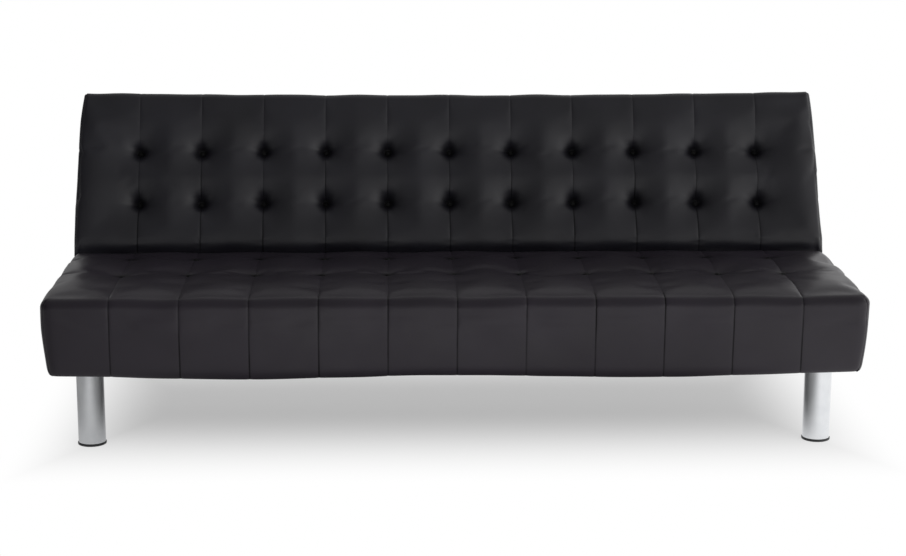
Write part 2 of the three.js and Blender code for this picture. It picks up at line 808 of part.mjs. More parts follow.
// The ratchet turns with the back. A notch faces straight down at each resting angle of the back.
function makeRatchets() {
  const notches = [
    [sitAngle, notchHalfAngle + releaseAngle, notchHalfAngle],
    [reclineAngle, notchHalfAngle, notchHalfAngle],
    [flatAngle, notchHalfAngle, notchHalfAngle],
  ].map(([fold, before, after]) => {
    const middle = backLean - Math.PI / 2 - THREE.MathUtils.degToRad(fold);
    return [middle - THREE.MathUtils.degToRad(before), middle + THREE.MathUtils.degToRad(after)];
  });
  const flat = backStart - ratchetTrim;
  const flatAngleHalf = Math.acos(flat / ratchetRadius);
  const start = Math.PI / 2 + flatAngleHalf;
  const shape = new THREE.Shape();
  const root = ratchetRadius - toothDepth;
  let from = start - 2 * Math.PI;
  const corner = (angle, radius) => [radius * Math.cos(angle), radius * Math.sin(angle)];
  shape.moveTo(...corner(from, ratchetRadius));
  for (const [begin, finish] of notches) {
    shape.absarc(0, 0, ratchetRadius, from, begin, false);
    shape.lineTo(...corner(begin, root));
    shape.absarc(0, 0, root, begin, finish, false);
    shape.lineTo(...corner(finish, ratchetRadius));
    from = finish;
  }
  shape.absarc(0, 0, ratchetRadius, from, Math.PI / 2 - flatAngleHalf, false);
  shape.closePath();
  shape.holes.push(circleHole(0, 0, pivotRadius + holePlay));
  const plate = sidePlate(shape, ratchetInner, ratchetInner + ratchetThickness);
  addBoth(back, 'ratchet_plate', 'zincSteel', plate);
}

// The pawl is drawn as it engages, then let down to its place between two clicks.
function makePawls() {
  const end = pawlPinForward + pawlNose / 2;
  const top = -pawlBarDrop;
  const bottom = top - pawlBar;
  const pawl = new THREE.Shape();
  const turn = Math.asin(bottom / pawlHub);
  pawl.moveTo(end, bottom);
  pawl.lineTo(end, pawlBarDrop);
  pawl.lineTo(pawlPinForward + pawlNoseTop / 2, pawlNoseRise);
  pawl.lineTo(pawlPinForward - pawlNoseTop / 2, pawlNoseRise);
  pawl.lineTo(pawlPinForward - pawlNose / 2, top);
  pawl.absarc(0, 0, pawlHub, Math.asin(top / pawlHub), 2 * Math.PI + turn, false);
  pawl.closePath();
  pawl.holes.push(circleHole(0, 0, pawlPinRadius + holePlay, boltSides));
  const plate = sidePlate(pawl, ratchetInner, ratchetInner + ratchetThickness);
  plate.rotateX(pawlRestAngle).translate(0, pawlPinY, pawlPinZ);
  addBoth(sofa, 'pawl', 'zincSteel', plate);
}

class CoilCurve extends THREE.Curve {
  getPoint(t, target = new THREE.Vector3()) {
    const angle = 2 * Math.PI * pawlSpringTurns * t;
    const length = springBay + armThickness - 2 * runningGap - pawlSpringWire;
    const x = -cheekInner + runningGap + pawlSpringWire / 2 + length * t;
    return target.set(x, pawlSpringRadius * Math.cos(angle), pawlSpringRadius * Math.sin(angle));
  }
}

// The pawl's spring is wound round its pin, beside the pawl.
function makePawlSprings() {
  const section = roundSection(pawlSpringWire / 2, wireSides);
  const steps = pawlSpringTurns * turnSteps;
  const coil = new THREE.ExtrudeGeometry(section, { extrudePath: new CoilCurve(), steps });
  coil.translate(0, pawlPinY, pawlPinZ);
  addBoth(sofa, 'pawl_spring', 'springSteel', weld(coil));
}

makeSeatUpholstery();
makeSeatFrame();
makeSeatSprings();
makeDustCover();
makeBaseFrame();
makeLegs();
makeBack();
makeBrackets();
makePins();
makeArms();
makeRatchets();
makePawls();
makePawlSprings();

const box = new THREE.Box3().setFromObject(sofa, true);
sofa.position.y = -(box.min.y + box.max.y) / 2;

export default sofa;
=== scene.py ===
"""Click clack sofa bed in black faux leather on chromed legs. Metres, Z up, the front towards -Y."""
import json
import math
from types import SimpleNamespace

import bmesh
import bpy
import numpy as np
from mathutils import Matrix, Vector


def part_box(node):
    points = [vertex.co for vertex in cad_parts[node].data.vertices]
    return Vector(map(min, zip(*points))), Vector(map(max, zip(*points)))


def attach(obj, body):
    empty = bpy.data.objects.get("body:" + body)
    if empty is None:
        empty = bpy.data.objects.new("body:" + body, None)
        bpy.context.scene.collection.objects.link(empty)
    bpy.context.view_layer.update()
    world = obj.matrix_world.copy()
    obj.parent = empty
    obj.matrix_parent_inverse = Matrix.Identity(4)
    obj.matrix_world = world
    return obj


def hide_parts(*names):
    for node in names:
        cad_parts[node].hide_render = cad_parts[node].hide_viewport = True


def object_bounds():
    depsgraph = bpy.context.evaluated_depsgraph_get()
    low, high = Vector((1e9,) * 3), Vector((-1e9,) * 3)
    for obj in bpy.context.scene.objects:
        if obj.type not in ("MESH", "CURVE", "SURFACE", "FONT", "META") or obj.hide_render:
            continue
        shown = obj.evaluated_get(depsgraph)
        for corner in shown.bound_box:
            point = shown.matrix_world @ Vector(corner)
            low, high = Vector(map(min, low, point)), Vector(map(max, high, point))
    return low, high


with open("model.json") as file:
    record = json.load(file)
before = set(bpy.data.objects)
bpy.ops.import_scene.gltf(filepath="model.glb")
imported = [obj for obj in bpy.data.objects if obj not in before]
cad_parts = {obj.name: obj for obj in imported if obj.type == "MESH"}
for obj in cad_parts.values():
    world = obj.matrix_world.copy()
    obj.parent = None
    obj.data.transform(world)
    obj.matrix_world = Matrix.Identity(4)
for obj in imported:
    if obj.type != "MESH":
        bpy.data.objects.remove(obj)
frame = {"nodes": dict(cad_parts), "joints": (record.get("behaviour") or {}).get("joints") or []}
cad_low, cad_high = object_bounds()
MM = 0.001
TINY = 1e-9  # keeps a division by zero from failing
BASE, BACK = "base_and_seat", "folding_back"

# The photograph's camera: its picture is 906 pixels wide
PHOTO_WIDTH = 906
FOCAL_PIXELS = 2036.4
SENSOR_WIDTH = 36.0
CAMERA_PLACE = Vector((-0.144, -4.66, 1.346))
CAMERA_DOWN, CAMERA_TURN, CAMERA_ROLL = 12.63, 1.80, 0.15  # degrees


def add_object(name, data):
    made = bpy.data.objects.new(name, data)
    bpy.context.scene.collection.objects.link(made)
    return made


def make_camera():
    data = bpy.data.cameras.new("photo_camera")
    data.sensor_fit = "HORIZONTAL"
    data.sensor_width = SENSOR_WIDTH
    data.lens = FOCAL_PIXELS * SENSOR_WIDTH / PHOTO_WIDTH
    camera = add_object("photo_camera", data)
    turn = Matrix.Rotation(math.radians(-CAMERA_TURN), 4, "Z")
    tilt = Matrix.Rotation(math.radians(90 - CAMERA_DOWN), 4, "X")
    roll = Matrix.Rotation(math.radians(CAMERA_ROLL), 4, "Z")
    camera.matrix_world = Matrix.Translation(CAMERA_PLACE) @ turn @ tilt @ roll
    bpy.context.scene.camera = camera


make_camera()


# Materials
def srgb(hex_colour):
    """An sRGB hex colour as the linear numbers that a shader takes."""
    parts = [int(hex_colour[i:i + 2], 16) / 255 for i in (1, 3, 5)]
    return (*[c / 12.92 if c <= 0.04045 else ((c + 0.055) / 1.055) ** 2.4 for c in parts], 1.0)


def add_node(tree, kind, inputs=None, **settings):
    """Adds a node with its settings, and gives its inputs values or links."""
    made = tree.nodes.new(kind)
    for name, value in settings.items():
        setattr(made, name, value)
    for name, value in (inputs or {}).items():
        if isinstance(value, bpy.types.NodeSocket):
            tree.links.new(value, made.inputs[name])
        else:
            made.inputs[name].default_value = value
    return made


def start_material(name, **values):
    """A material, its tree, its shader with values set on it, and the object's own coordinates."""
    material = bpy.data.materials.new(name)
    material.use_nodes = True
    tree = material.node_tree
    shader = tree.nodes["Principled BSDF"]
    for socket, value in values.items():
        shader.inputs[socket].default_value = value
    place = add_node(tree, "ShaderNodeTexCoord").outputs["Object"]
    return material, tree, shader, place


def clouds(tree, place, size, low, high):
    """A cloudy pattern between two values, with clouds of about the given size."""
    noise = add_node(tree, "ShaderNodeTexNoise", {"Vector": place, "Scale": 1 / size, "Detail": 3.0})
    # the noise rarely leaves the span from 0.3 to 0.7
    span = {"Value": noise.outputs["Fac"], "From Min": 0.3, "From Max": 0.7, "To Min": low, "To Max": high}
    return add_node(tree, "ShaderNodeMapRange", span).outputs["Result"]


def clouded_colour(tree, place, size, dark, light):
    """A colour that drifts between two, in clouds of about the given size."""
    share = clouds(tree, place, size, 0.0, 1.0)
    mix = add_node(tree, "ShaderNodeMix", {0: share, 6: srgb(dark), 7: srgb(light)}, data_type="RGBA")
    return mix.outputs[2]


def mottle(tree, shader, place, colour, roughness=None):
    """Lets a shader's colour, and its roughness where given, drift between two values in clouds. Each is
    given as the size of its clouds and the two values."""
    tree.links.new(clouded_colour(tree, place, *colour), shader.inputs["Base Color"])
    if roughness:
        tree.links.new(clouds(tree, place, *roughness), shader.inputs["Roughness"])


STITCH = 5 * MM  # length of one
SEAM_SHADE = "#060607"  # colour at the seams and round the buttons: dust in a seam, and painted shade there and round each button
SEAM_CLEAR, SEAM_DEEP = 2.6 * MM, 0.5 * MM  # from the seam: where its dust and painted shade end, and where they are full


def black_faux_leather(name, dark, light, smooth, rough):
    """Polyurethane skin on knitted cloth, embossed and rolled: near black, with a soft even sheen,
    a pebbled grain and fine handling creases. It is darker and shines less with dust and painted shade
    along a seam, and with painted shade round a button.
    The pebbles are about 1 mm, and drawn 2.4 mm to show."""
    material, tree, shader, place = start_material(name, IOR=1.5)
    seam = add_node(tree, "ShaderNodeAttribute", attribute_name="seam_distance").outputs["Fac"]
    run = add_node(tree, "ShaderNodeAttribute", attribute_name="seam_run").outputs["Fac"]
    near = {"Value": seam, "From Min": SEAM_DEEP, "From Max": SEAM_CLEAR, "To Min": 1.0, "To Max": 0.0}
    close_to = add_node(tree, "ShaderNodeMapRange", near).outputs["Result"]
    patchy_seam_shade = {0: close_to, 1: clouds(tree, place, size=130 * MM, low=0.35, high=1.0)}
    near_seam = add_node(tree, "ShaderNodeMath", patchy_seam_shade, operation="MULTIPLY").outputs[0]
    # the painted shade round each tuft, from the cover's tuft_shade attribute
    tufted = add_node(tree, "ShaderNodeAttribute", attribute_name="tuft_shade").outputs["Fac"]
    painted_shade = {0: near_seam, 1: tufted}
    shaded = add_node(tree, "ShaderNodeMath", painted_shade, operation="MAXIMUM").outputs[0]
    skin = clouded_colour(tree, place, 160 * MM, dark, light)
    # darker towards SEAM_SHADE: dust and painted shade at the seams, painted shade round the tufts
    dust_and_painted_shade = add_node(tree, "ShaderNodeMix", {0: shaded, 6: skin, 7: srgb(SEAM_SHADE)}, data_type="RGBA")
    tree.links.new(dust_and_painted_shade.outputs[2], shader.inputs["Base Color"])
    tree.links.new(clouds(tree, place, 90 * MM, smooth, rough), shader.inputs["Roughness"])
    # the painted shade also takes away most of the reflection there
    shine_in_painted_shade = {"Value": shaded, "To Min": 0.5, "To Max": 0.1}
    shine = add_node(tree, "ShaderNodeMapRange", shine_in_painted_shade).outputs["Result"]
    tree.links.new(shine, shader.inputs["Specular IOR Level"])
    pebble = {"Vector": place, "Scale": 1 / (2.4 * MM), "Randomness": 0.9}
    pebbles = add_node(tree, "ShaderNodeTexVoronoi", pebble).outputs["Distance"]
    fine = add_node(tree, "ShaderNodeTexNoise", {"Vector": place, "Scale": 1 / (24 * MM), "Detail": 5.0})
    turns = add_node(tree, "ShaderNodeMath", {0: run, 1: 2 * math.pi / STITCH}, operation="MULTIPLY")
    wave = add_node(tree, "ShaderNodeMath", {0: turns.outputs[0]}, operation="SINE")
    stitches = add_node(tree, "ShaderNodeMath", {0: wave.outputs[0], 1: near_seam}, operation="MULTIPLY")
    handled = {"Height": fine.outputs["Fac"], "Distance": 1.2 * MM, "Strength": 0.22}
    creases = add_node(tree, "ShaderNodeBump", handled).outputs["Normal"]
    embossed = {"Height": pebbles, "Distance": 0.14 * MM, "Strength": 0.3, "Normal": creases}
    grain = add_node(tree, "ShaderNodeBump", embossed).outputs["Normal"]
    sewn = {"Height": stitches.outputs[0], "Distance": 0.3 * MM, "Strength": 0.5, "Normal": grain}
    tree.links.new(add_node(tree, "ShaderNodeBump", sewn).outputs["Normal"], shader.inputs["Normal"])
    return material


def bright_chrome():
    """Chrome plate on polished steel: a cool mirror, softened by fine polishing lines round it."""
    material, tree, shader, place = start_material("bright_chrome_plate", Metallic=1.0)
    stretch = add_node(tree, "ShaderNodeMapping", {"Vector": place, "Scale": (1, 1, 8)}).outputs["Vector"]
    mottle(tree, shader, place, colour=(30 * MM, "#dfe1e4", "#e8eaec"))
    polished = clouds(tree, stretch, size=14 * MM, low=0.10, high=0.17)
    tree.links.new(polished, shader.inputs["Roughness"])
    return material


def moulded_polypropylene():
    """Polypropylene moulded in an eroded mould: matt black with a fine, even pitting."""
    material, tree, shader, place = start_material("moulded_black_polypropylene", IOR=1.49)
    mottle(tree, shader, place, colour=(20 * MM, "#2a2b2d", "#3a3b3d"), roughness=(15 * MM, 0.42, 0.55))
    pits = add_node(tree, "ShaderNodeTexNoise", {"Vector": place, "Scale": 1 / (1.2 * MM), "Detail": 2.0})
    pitted = {"Height": pits.outputs["Fac"], "Distance": 0.08 * MM, "Strength": 0.5}
    tree.links.new(add_node(tree, "ShaderNodeBump", pitted).outputs["Normal"], shader.inputs["Normal"])
    return material


def black_powder_coat():
    """Polyester powder baked on steel: satin black with the slight ripple of orange peel."""
    material, tree, shader, place = start_material("black_powder_coat", IOR=1.5)
    mottle(tree, shader, place, colour=(60 * MM, "#1a1b1d", "#26282a"), roughness=(40 * MM, 0.34, 0.46))
    peel = add_node(tree, "ShaderNodeTexNoise", {"Vector": place, "Scale": 1 / (2.5 * MM), "Detail": 1.0})
    rippled = {"Height": peel.outputs["Fac"], "Distance": 0.15 * MM, "Strength": 0.35}
    tree.links.new(add_node(tree, "ShaderNodeBump", rippled).outputs["Normal"], shader.inputs["Normal"])
    return material


def zinc_plate():
    """Bright zinc on stamped steel: clouded grey metal with a faint spangle."""
    material, tree, shader, place = start_material("zinc_plated_steel", Metallic=1.0)
    mottle(tree, shader, place, colour=(14 * MM, "#a3a8ac", "#c3c7ca"), roughness=(8 * MM, 0.28, 0.45))
    spangle = add_node(tree, "ShaderNodeTexVoronoi", {"Vector": place, "Scale": 1 / (4 * MM)})
    spangled = {"Height": spangle.outputs["Distance"], "Distance": 0.05 * MM, "Strength": 0.3}
    tree.links.new(add_node(tree, "ShaderNodeBump", spangled).outputs["Normal"], shader.inputs["Normal"])
    return material


def drawn_spring_wire():
    """Oil tempered spring wire: dark grey metal, duller in streaks."""
    material, tree, shader, place = start_material("oil_tempered_spring_wire", Metallic=1.0)
    mottle(tree, shader, place, colour=(30 * MM, "#6a6d71", "#8c9094"), roughness=(10 * MM, 0.32, 0.5))
    return material


def planed_pine(along):
    """Planed pine, unfinished: pale yellow, with darker year rings 7 mm apart running along the board."""
    material, tree, shader, place = start_material(f"planed_pine_along_{along.lower()}", Roughness=0.62)
    rings_per_metre = 1 / (7 * MM)
    rings_along = 0.06 * rings_per_metre  # they run far along the board
    scale = [rings_along if axis == along else rings_per_metre for axis in "XYZ"]
    grain = add_node(tree, "ShaderNodeMapping", {"Vector": place, "Scale": scale}).outputs["Vector"]
    rings = add_node(tree, "ShaderNodeTexNoise", {"Vector": grain, "Scale": 1.0, "Detail": 5.0})
    span = {"Value": rings.outputs["Fac"], "From Min": 0.38, "From Max": 0.62}
    share = add_node(tree, "ShaderNodeMapRange", span).outputs["Result"]
    late_to_early = {0: share, 6: srgb("#b98d55"), 7: srgb("#dcbd8a")}
    wood = add_node(tree, "ShaderNodeMix", late_to_early, data_type="RGBA").outputs[2]
    tree.links.new(wood, shader.inputs["Base Color"])
    raised = {"Height": rings.outputs["Fac"], "Distance": 0.2 * MM, "Strength": 0.4}
    tree.links.new(add_node(tree, "ShaderNodeBump", raised).outputs["Normal"], shader.inputs["Normal"])
    return material


def spun_bonded_cloth():
    """Spun-bonded polypropylene lining: matt black with a grid of small pressed dimples.
    The dimples are 1.5 mm apart, and drawn 5 mm apart to show."""
    material, tree, shader, place = start_material("black_spun_bonded_cloth", Roughness=0.88, IOR=1.45)
    mottle(tree, shader, place, colour=(50 * MM, "#171718", "#252526"))
    pressed = {"Vector": place, "Scale": 1 / (5 * MM), "Randomness": 0.1}
    dimples = add_node(tree, "ShaderNodeTexVoronoi", pressed).outputs["Distance"]
    fibre = add_node(tree, "ShaderNodeTexNoise", {"Vector": place, "Scale": 1 / (1.5 * MM), "Detail": 4.0})
    dimpled = {"Height": dimples, "Distance": 0.3 * MM, "Strength": 0.6}
    bonds = add_node(tree, "ShaderNodeBump", dimpled).outputs["Normal"]
    felted = {"Height": fibre.outputs["Fac"], "Distance": 0.15 * MM, "Strength": 0.5, "Normal": bonds}
    tree.links.new(add_node(tree, "ShaderNodeBump", felted).outputs["Normal"], shader.inputs["Normal"])
    return material


WAVES_PER_UNIT = 20 / (2 * math.pi)  # of the wave texture at scale 1


def elastic_webbing():
    """Woven elastic webbing: charcoal, with a rib every 3 mm across it."""
    material, tree, shader, place = start_material("woven_elastic_webbing", Roughness=0.85)
    mottle(tree, shader, place, colour=(40 * MM, "#2a2a2e", "#404044"))
    ribs = {"Vector": place, "Scale": 1 / (WAVES_PER_UNIT * 3 * MM), "Distortion": 0.3}
    wave = add_node(tree, "ShaderNodeTexWave", ribs).outputs["Fac"]
    ribbed = {"Height": wave, "Distance": 0.4 * MM, "Strength": 0.6}
    tree.links.new(add_node(tree, "ShaderNodeBump", ribbed).outputs["Normal"], shader.inputs["Normal"])
    return material


LEATHER_SHEEN, BUTTON_SHEEN = (0.38, 0.46), (0.70, 0.80)  # roughness where it is smoothest and dullest
SEAT_LEATHER = black_faux_leather("black_faux_leather_seat", "#1b131f", "#221a27", *LEATHER_SHEEN)
BACK_LEATHER = black_faux_leather("black_faux_leather_back", "#18171e", "#212028", *LEATHER_SHEEN)
# the buttons' leather is a darker copy of the cover's, and with no seam attributes it takes the full seam
# colour and loses its reflection: painted shade of the deep tufts they sit in
BUTTON_LEATHER = black_faux_leather("black_faux_leather_button", "#0a0a0b", "#101011", *BUTTON_SHEEN)
CHROME = bright_chrome()
PLASTIC = moulded_polypropylene()
POWDER_COAT = black_powder_coat()
ZINC = zinc_plate()
SPRING_WIRE = drawn_spring_wire()
PINE = {axis: planed_pine(axis) for axis in "XYZ"}
LINING = spun_bonded_cloth()
WEBBING = elastic_webbing()


# Meshes
def place_piece(mesh, name, material, body):
    """An object for a finished mesh, with its material, that rides on a body."""
    mesh.materials.append(material)
    piece = add_object(name, mesh)
    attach(piece, body)
    return piece


def make_mesh(name, points, faces):
    mesh = bpy.data.meshes.new(name)
    mesh.from_pydata(points.tolist(), [], faces)
    mesh.shade_smooth()
    return mesh


def carry(points, place):
    """Moves points by a matrix."""
    place = np.array(place)
    return points @ place[:3, :3].T + place[:3, 3]


def point_normals(points, quads):
    """Unit normals at the points of a mesh of quads."""
    a, b, c, d = (points[quads[:, k]] for k in range(4))
    across = np.cross(c - a, d - b)
    normals = np.zeros_like(points)
    for k in range(4):
        np.add.at(normals, quads[:, k], across)
    return normals / np.maximum(np.linalg.norm(normals, axis=1, keepdims=True), TINY)


def grid_quads(numbers):
    """Quads between the points of a grid, from the table of their numbers."""
    corners = [numbers[:-1, :-1], numbers[:-1, 1:], numbers[1:, 1:], numbers[1:, :-1]]
    return np.stack(corners, -1).reshape(-1, 4)


def ring_quads(upper, lower):
    """Quads between two rings of points, from their numbers."""
    return np.stack([upper, lower, np.roll(lower, -1), np.roll(upper, -1)], 1)


def places_between(marks, step):
    """Places from the first mark to the last, through every mark, about one step apart."""
    marks = sorted(set(marks))
    places = [marks[0]]
    for start, stop in zip(marks, marks[1:]):
        count = max(1, round((stop - start) / step))
        places += list(np.linspace(start, stop, count + 1)[1:])
    return np.array(places)


def smooth_step(value, low, high):
    share = np.clip((value - low) / (high - low), 0, 1)
    return share * share * (3 - 2 * share)


# Upholstery: the seat and the back are each a box with rounded edges, in a flat frame of its own:
# X across, Y from its front or lower edge, and Z up from the lower edge of its sides to its face
PANELS = 12
PANEL_WIDTH = 150 * MM
SEAMS = np.array([(i - PANELS / 2) * PANEL_WIDTH for i in range(1, PANELS)])
GRID_STEP, EDGE_STEP = 9 * MM, 4 * MM  # between the points of a cover, and where its edges are round
CREASE_MARKS = np.array([1.2, 3.0, 6.0, 11.0]) * MM  # columns beside each seam
PIT_MARKS = np.array([5.0, 10.0, 16.0, 24.0]) * MM  # rows beside each row of tufts
NOTCH_SLOPE = 7 * MM  # how far the slanting side of a notch spreads
CLOSE = 0.2 * MM  # so near a wall counts as on it
SHARP = 8  # power that joins the roundings of two edges at a corner
CREASE_REACH, CREASE_ROUND = 2.6 * MM, 0.6 * MM  # of the sharp valley along a seam
DISH_REACH = 35 * MM  # of the shallow valley along it
GATHER_DEPTH, GATHER_LENGTH, GATHER_REACH = 0.35 * MM, 21 * MM, 15 * MM  # small folds along the seams
JOINT_DEPTH, JOINT_REACH = 1.6 * MM, 4 * MM  # of the seam round the ends
EASE_DEPTH, EASE_WAVES, EASE_LENGTHS = 0.3 * MM, 10, (110 * MM, 240 * MM)  # long waves of slack leather
PLEAT_DEPTH, PLEAT_PLACE, PLEAT_REACH = 1.0 * MM, 24 * MM, 13 * MM  # pleats round a tuft
PLEAT_TURNS, PLEAT_VARIETY = (4, 5, 7, 9), (0.2, 0.6)  # waves round a tuft, and how strong each may be
HEM_DROP, HEM_WAVE, HEM_END_LIFT = 9.5 * MM, 3.5 * MM, 3 * MM  # of the seat's lower edge
HEM_WAVE_START, HEM_WAVE_LENGTH = 450 * MM, 870 * MM
PIT_RADIUS = 5.5 * MM  # of the bottom of a tuft's funnel
PIT_STEEP, PIT_WIDE = 16 * MM, 36 * MM  # how far the two parts of a tuft's funnel reach
PIT_STEEP_SHARE, PIT_VARIETY = 0.55, (1.0, 1.08)  # the variety is of the depths
PIT_FADE, PIT_END = 100 * MM, 144 * MM  # where the funnel starts to fade out, and where it has gone
TUFT_SHADE, TUFT_SHADE_REACH = 0.8, 10 * MM  # strength and reach of the painted shade round a button
EDGE_HOLD, EDGE_HOLD_REACH = 0.8, 40 * MM  # how firmly the foam's stiffer edges shape the leather
SETTLE_FRAMES = 20
SETTLE_CAP = 22 * MM  # the most that a point of the leather moves while it settles

TAPER_START, TAPER_CURVE = 0.4, 1.4  # share of the side's depth where it starts to lean in, and how it bends
TAPER_BAND = 60 * MM  # beside a corner, where a wall leans in with the next one
DRAW_START = 0.62  # share of the back's length beyond which its ends are drawn in
DRAW_HOLD = 0.5  # share of that draw which is left at the back's rear
FLARE_END = 0.8  # share of the back's length where its ends stop flaring
DIP_START = 0.6  # share of the back's length where its top starts to dip
DIP_MIDDLE = 1.4  # how deep the dip is in the middle, where top_dip is 1
DIP_DEPTHS = (20 * MM, 70 * MM)  # the dip fades out between these depths
THIN_HOLD, THICK_HOLD = 0.75, 0.5  # share of the relief that a tacked wall loses, thin or thick
FREE_DEPTHS = (0.3, 0.55)  # shares of the side between which the relief fades
TACK_DEPTHS = (0.25, 0.5)  # shares of the side between which the leather becomes fixed
SEAM_HOLD, SEAM_HOLD_REACH = 0.6, 2 * MM  # how firmly a seam holds the leather
TUFT_HOLD_REACH = 1 * MM  # beyond the bottom of a tuft
HOLD_STEPS = 10  # firmness is told apart in tenths

PIVOT = Vector(next(j for j in frame["joints"] if j["name"] == "back_fold")["pos_m"])
LEAN = math.radians(25.4)  # of the sitting back, from upright
SEAT_TOP, SEAT_FOOT = 350 * MM, 176 * MM  # heights of the seat's face and of the lower edge of its sides
FOAM_SETBACK, BACK_START = 18 * MM, 20 * MM  # of the back's foam, from the pivot
BACK_FOAM = 78 * MM  # its thickness
BACK_WRAP = 37.9 * MM  # how far the back's sides reach round its frame, behind the foam
BACK_TURN = Matrix.Translation(PIVOT) @ Matrix.Rotation(math.pi / 2 - LEAN, 4, "X")
RAIL_X = 806 * MM  # of the middle of each side rail

# The sizes of a form in its flat frame. First half its width, its length and its height, and the radii of its
# edges: at both ends, at its start (Y = 0) and at its finish, of its upright corners (plan) and of its lower
# edge (foot, with its reach under the ends, the start and the finish). Then the crown of its face, its tufts
# and seams, how its ends and its start lean in, how the back's ends are drawn in and flare and its top dips,
# how much of the seat's waved hem it has, the pressure of its foam, how faint its seams get within a span,
# and which of its long walls are thin. Last the opening under it, the lip that its leather is turned round,
# how high the opening's wall stands, and the notches for the rails or the hinge arms.
SEAT = SimpleNamespace(
    name="seat_cover", body=BASE, leather=SEAT_LEATHER, half=898 * MM, length=522 * MM,
    height=SEAT_TOP - SEAT_FOOT, place=Matrix.Translation((0, cad_low.y, SEAT_FOOT)),
    end_radius=19 * MM, start_radius=22 * MM, finish_radius=34 * MM, plan_radius=26 * MM,
    foot_radius=22 * MM, foot_reach=(5 * MM, 8 * MM, 2 * MM), crown=8 * MM, end_crown=3 * MM,
    tuft_rows=[245 * MM, 422 * MM], tuft_depth=8 * MM, crease=1.6 * MM, dish=0.4 * MM,
    end_taper=10 * MM, start_taper=7 * MM, draw=0.0, flare=0.0, top_dip=0.0, hem=1.0,
    pressure=0.8, seam_fade=1.8 * MM, seam_fade_span=(20 * MM, 70 * MM), thin_walls=(False, True),
    inner=(880 * MM, 16 * MM, 519.3 * MM), lip=3.5 * MM, lip_thickness=1.6 * MM, wall=85.5 * MM,
    notch_x=RAIL_X, notch_half=17 * MM, notch_height=35 * MM, notch_at_finish=True, seed=7)
BACKREST = SimpleNamespace(
    name="back_cover", body=BACK, leather=BACK_LEATHER, half=897 * MM, length=418 * MM,
    height=BACK_FOAM + BACK_WRAP,
    place=BACK_TURN @ Matrix.Translation((0, BACK_START, -FOAM_SETBACK - BACK_WRAP)),
    end_radius=16 * MM, start_radius=48 * MM, finish_radius=20 * MM, plan_radius=9 * MM,
    foot_radius=6 * MM, foot_reach=(4 * MM, 1.6 * MM, 1.6 * MM), crown=8 * MM, end_crown=8 * MM,
    tuft_rows=[135 * MM, 264 * MM], tuft_depth=38 * MM, crease=0.9 * MM, dish=0.4 * MM,
    end_taper=0.0, start_taper=0.0, draw=10 * MM, flare=6 * MM, top_dip=7 * MM, hem=0.0,
    pressure=2.4, seam_fade=2.0 * MM, seam_fade_span=(60 * MM, 400 * MM), thin_walls=(True, True),
    inner=(885.5 * MM, 2.5 * MM, 415.5 * MM), lip=3.5 * MM, lip_thickness=1.2 * MM, wall=BACK_WRAP,
    notch_x=807 * MM, notch_half=5 * MM, notch_height=34.5 * MM, notch_at_finish=False, seed=11)


def face_grid(form):
    """Columns and rows of the face, close together beside the seams, the tufts and the edges."""
    edge = form.half - form.end_radius
    columns = [*places_between([-form.half, -edge], EDGE_STEP), *places_between([edge, form.half], EDGE_STEP)]
    for seam in SEAMS:
        columns += [seam, *(seam - CREASE_MARKS), *(seam + CREASE_MARKS)]
    for side in (-1, 1):
        for reach in (form.notch_half, form.notch_half + NOTCH_SLOPE):
            columns += [side * form.notch_x - reach, side * form.notch_x + reach]
    rows = [*places_between([0, form.start_radius], EDGE_STEP)]
    rows += [*places_between([form.length - form.finish_radius, form.length], EDGE_STEP)]
    for row in form.tuft_rows:
        rows += [row, *(row - PIT_MARKS), *(row + PIT_MARKS)]
    return places_between(columns, GRID_STEP), places_between(rows, GRID_STEP)


def box_sheet(form):
    """The face and sides of a sharp box as one sheet of quads: each point's place on the face,
    its depth down the side, the quads, and the points round the lower edge."""
    columns, rows = face_grid(form)
    x, y = (grid.ravel() for grid in np.meshgrid(columns, rows))
    index = np.arange(len(x)).reshape(len(rows), len(columns))
    quads = [grid_quads(index)]
    upper = np.concatenate([index[0, :-1], index[:-1, -1], index[-1, :0:-1], index[:0:-1, 0]])
    loop_x, loop_y = x[upper], y[upper]
    side = form.height - form.crown
    marks = [*places_between([0, form.start_radius], EDGE_STEP)]
    marks += [*places_between([side - form.foot_radius, side], EDGE_STEP)]
    xs, ys, depths = [x], [y], [np.zeros(len(x))]
    for depth in places_between(marks, GRID_STEP)[1:]:
        lower = sum(len(part) for part in xs) + np.arange(len(upper))
        quads.append(ring_quads(upper, lower))
        xs.append(loop_x)
        ys.append(loop_y)
        depths.append(np.full(len(upper), depth))
        upper = lower
    return np.concatenate(xs), np.concatenate(ys), np.concatenate(depths), np.concatenate(quads), upper


def in_notch(form, x, y):
    wall = form.length if form.notch_at_finish else 0
    beside = np.abs(np.abs(x) - form.notch_x) < form.notch_half + CLOSE
    return beside & (np.abs(y - wall) < CLOSE)


def crown_fall(form, x, y):
    """How far the face lies below its middle."""
    towards_ends = (x / form.half) ** 4
    towards_edges = (2 * y / form.length - 1) ** 4
    return form.crown * towards_edges + form.end_crown * towards_ends * (1 - towards_edges)


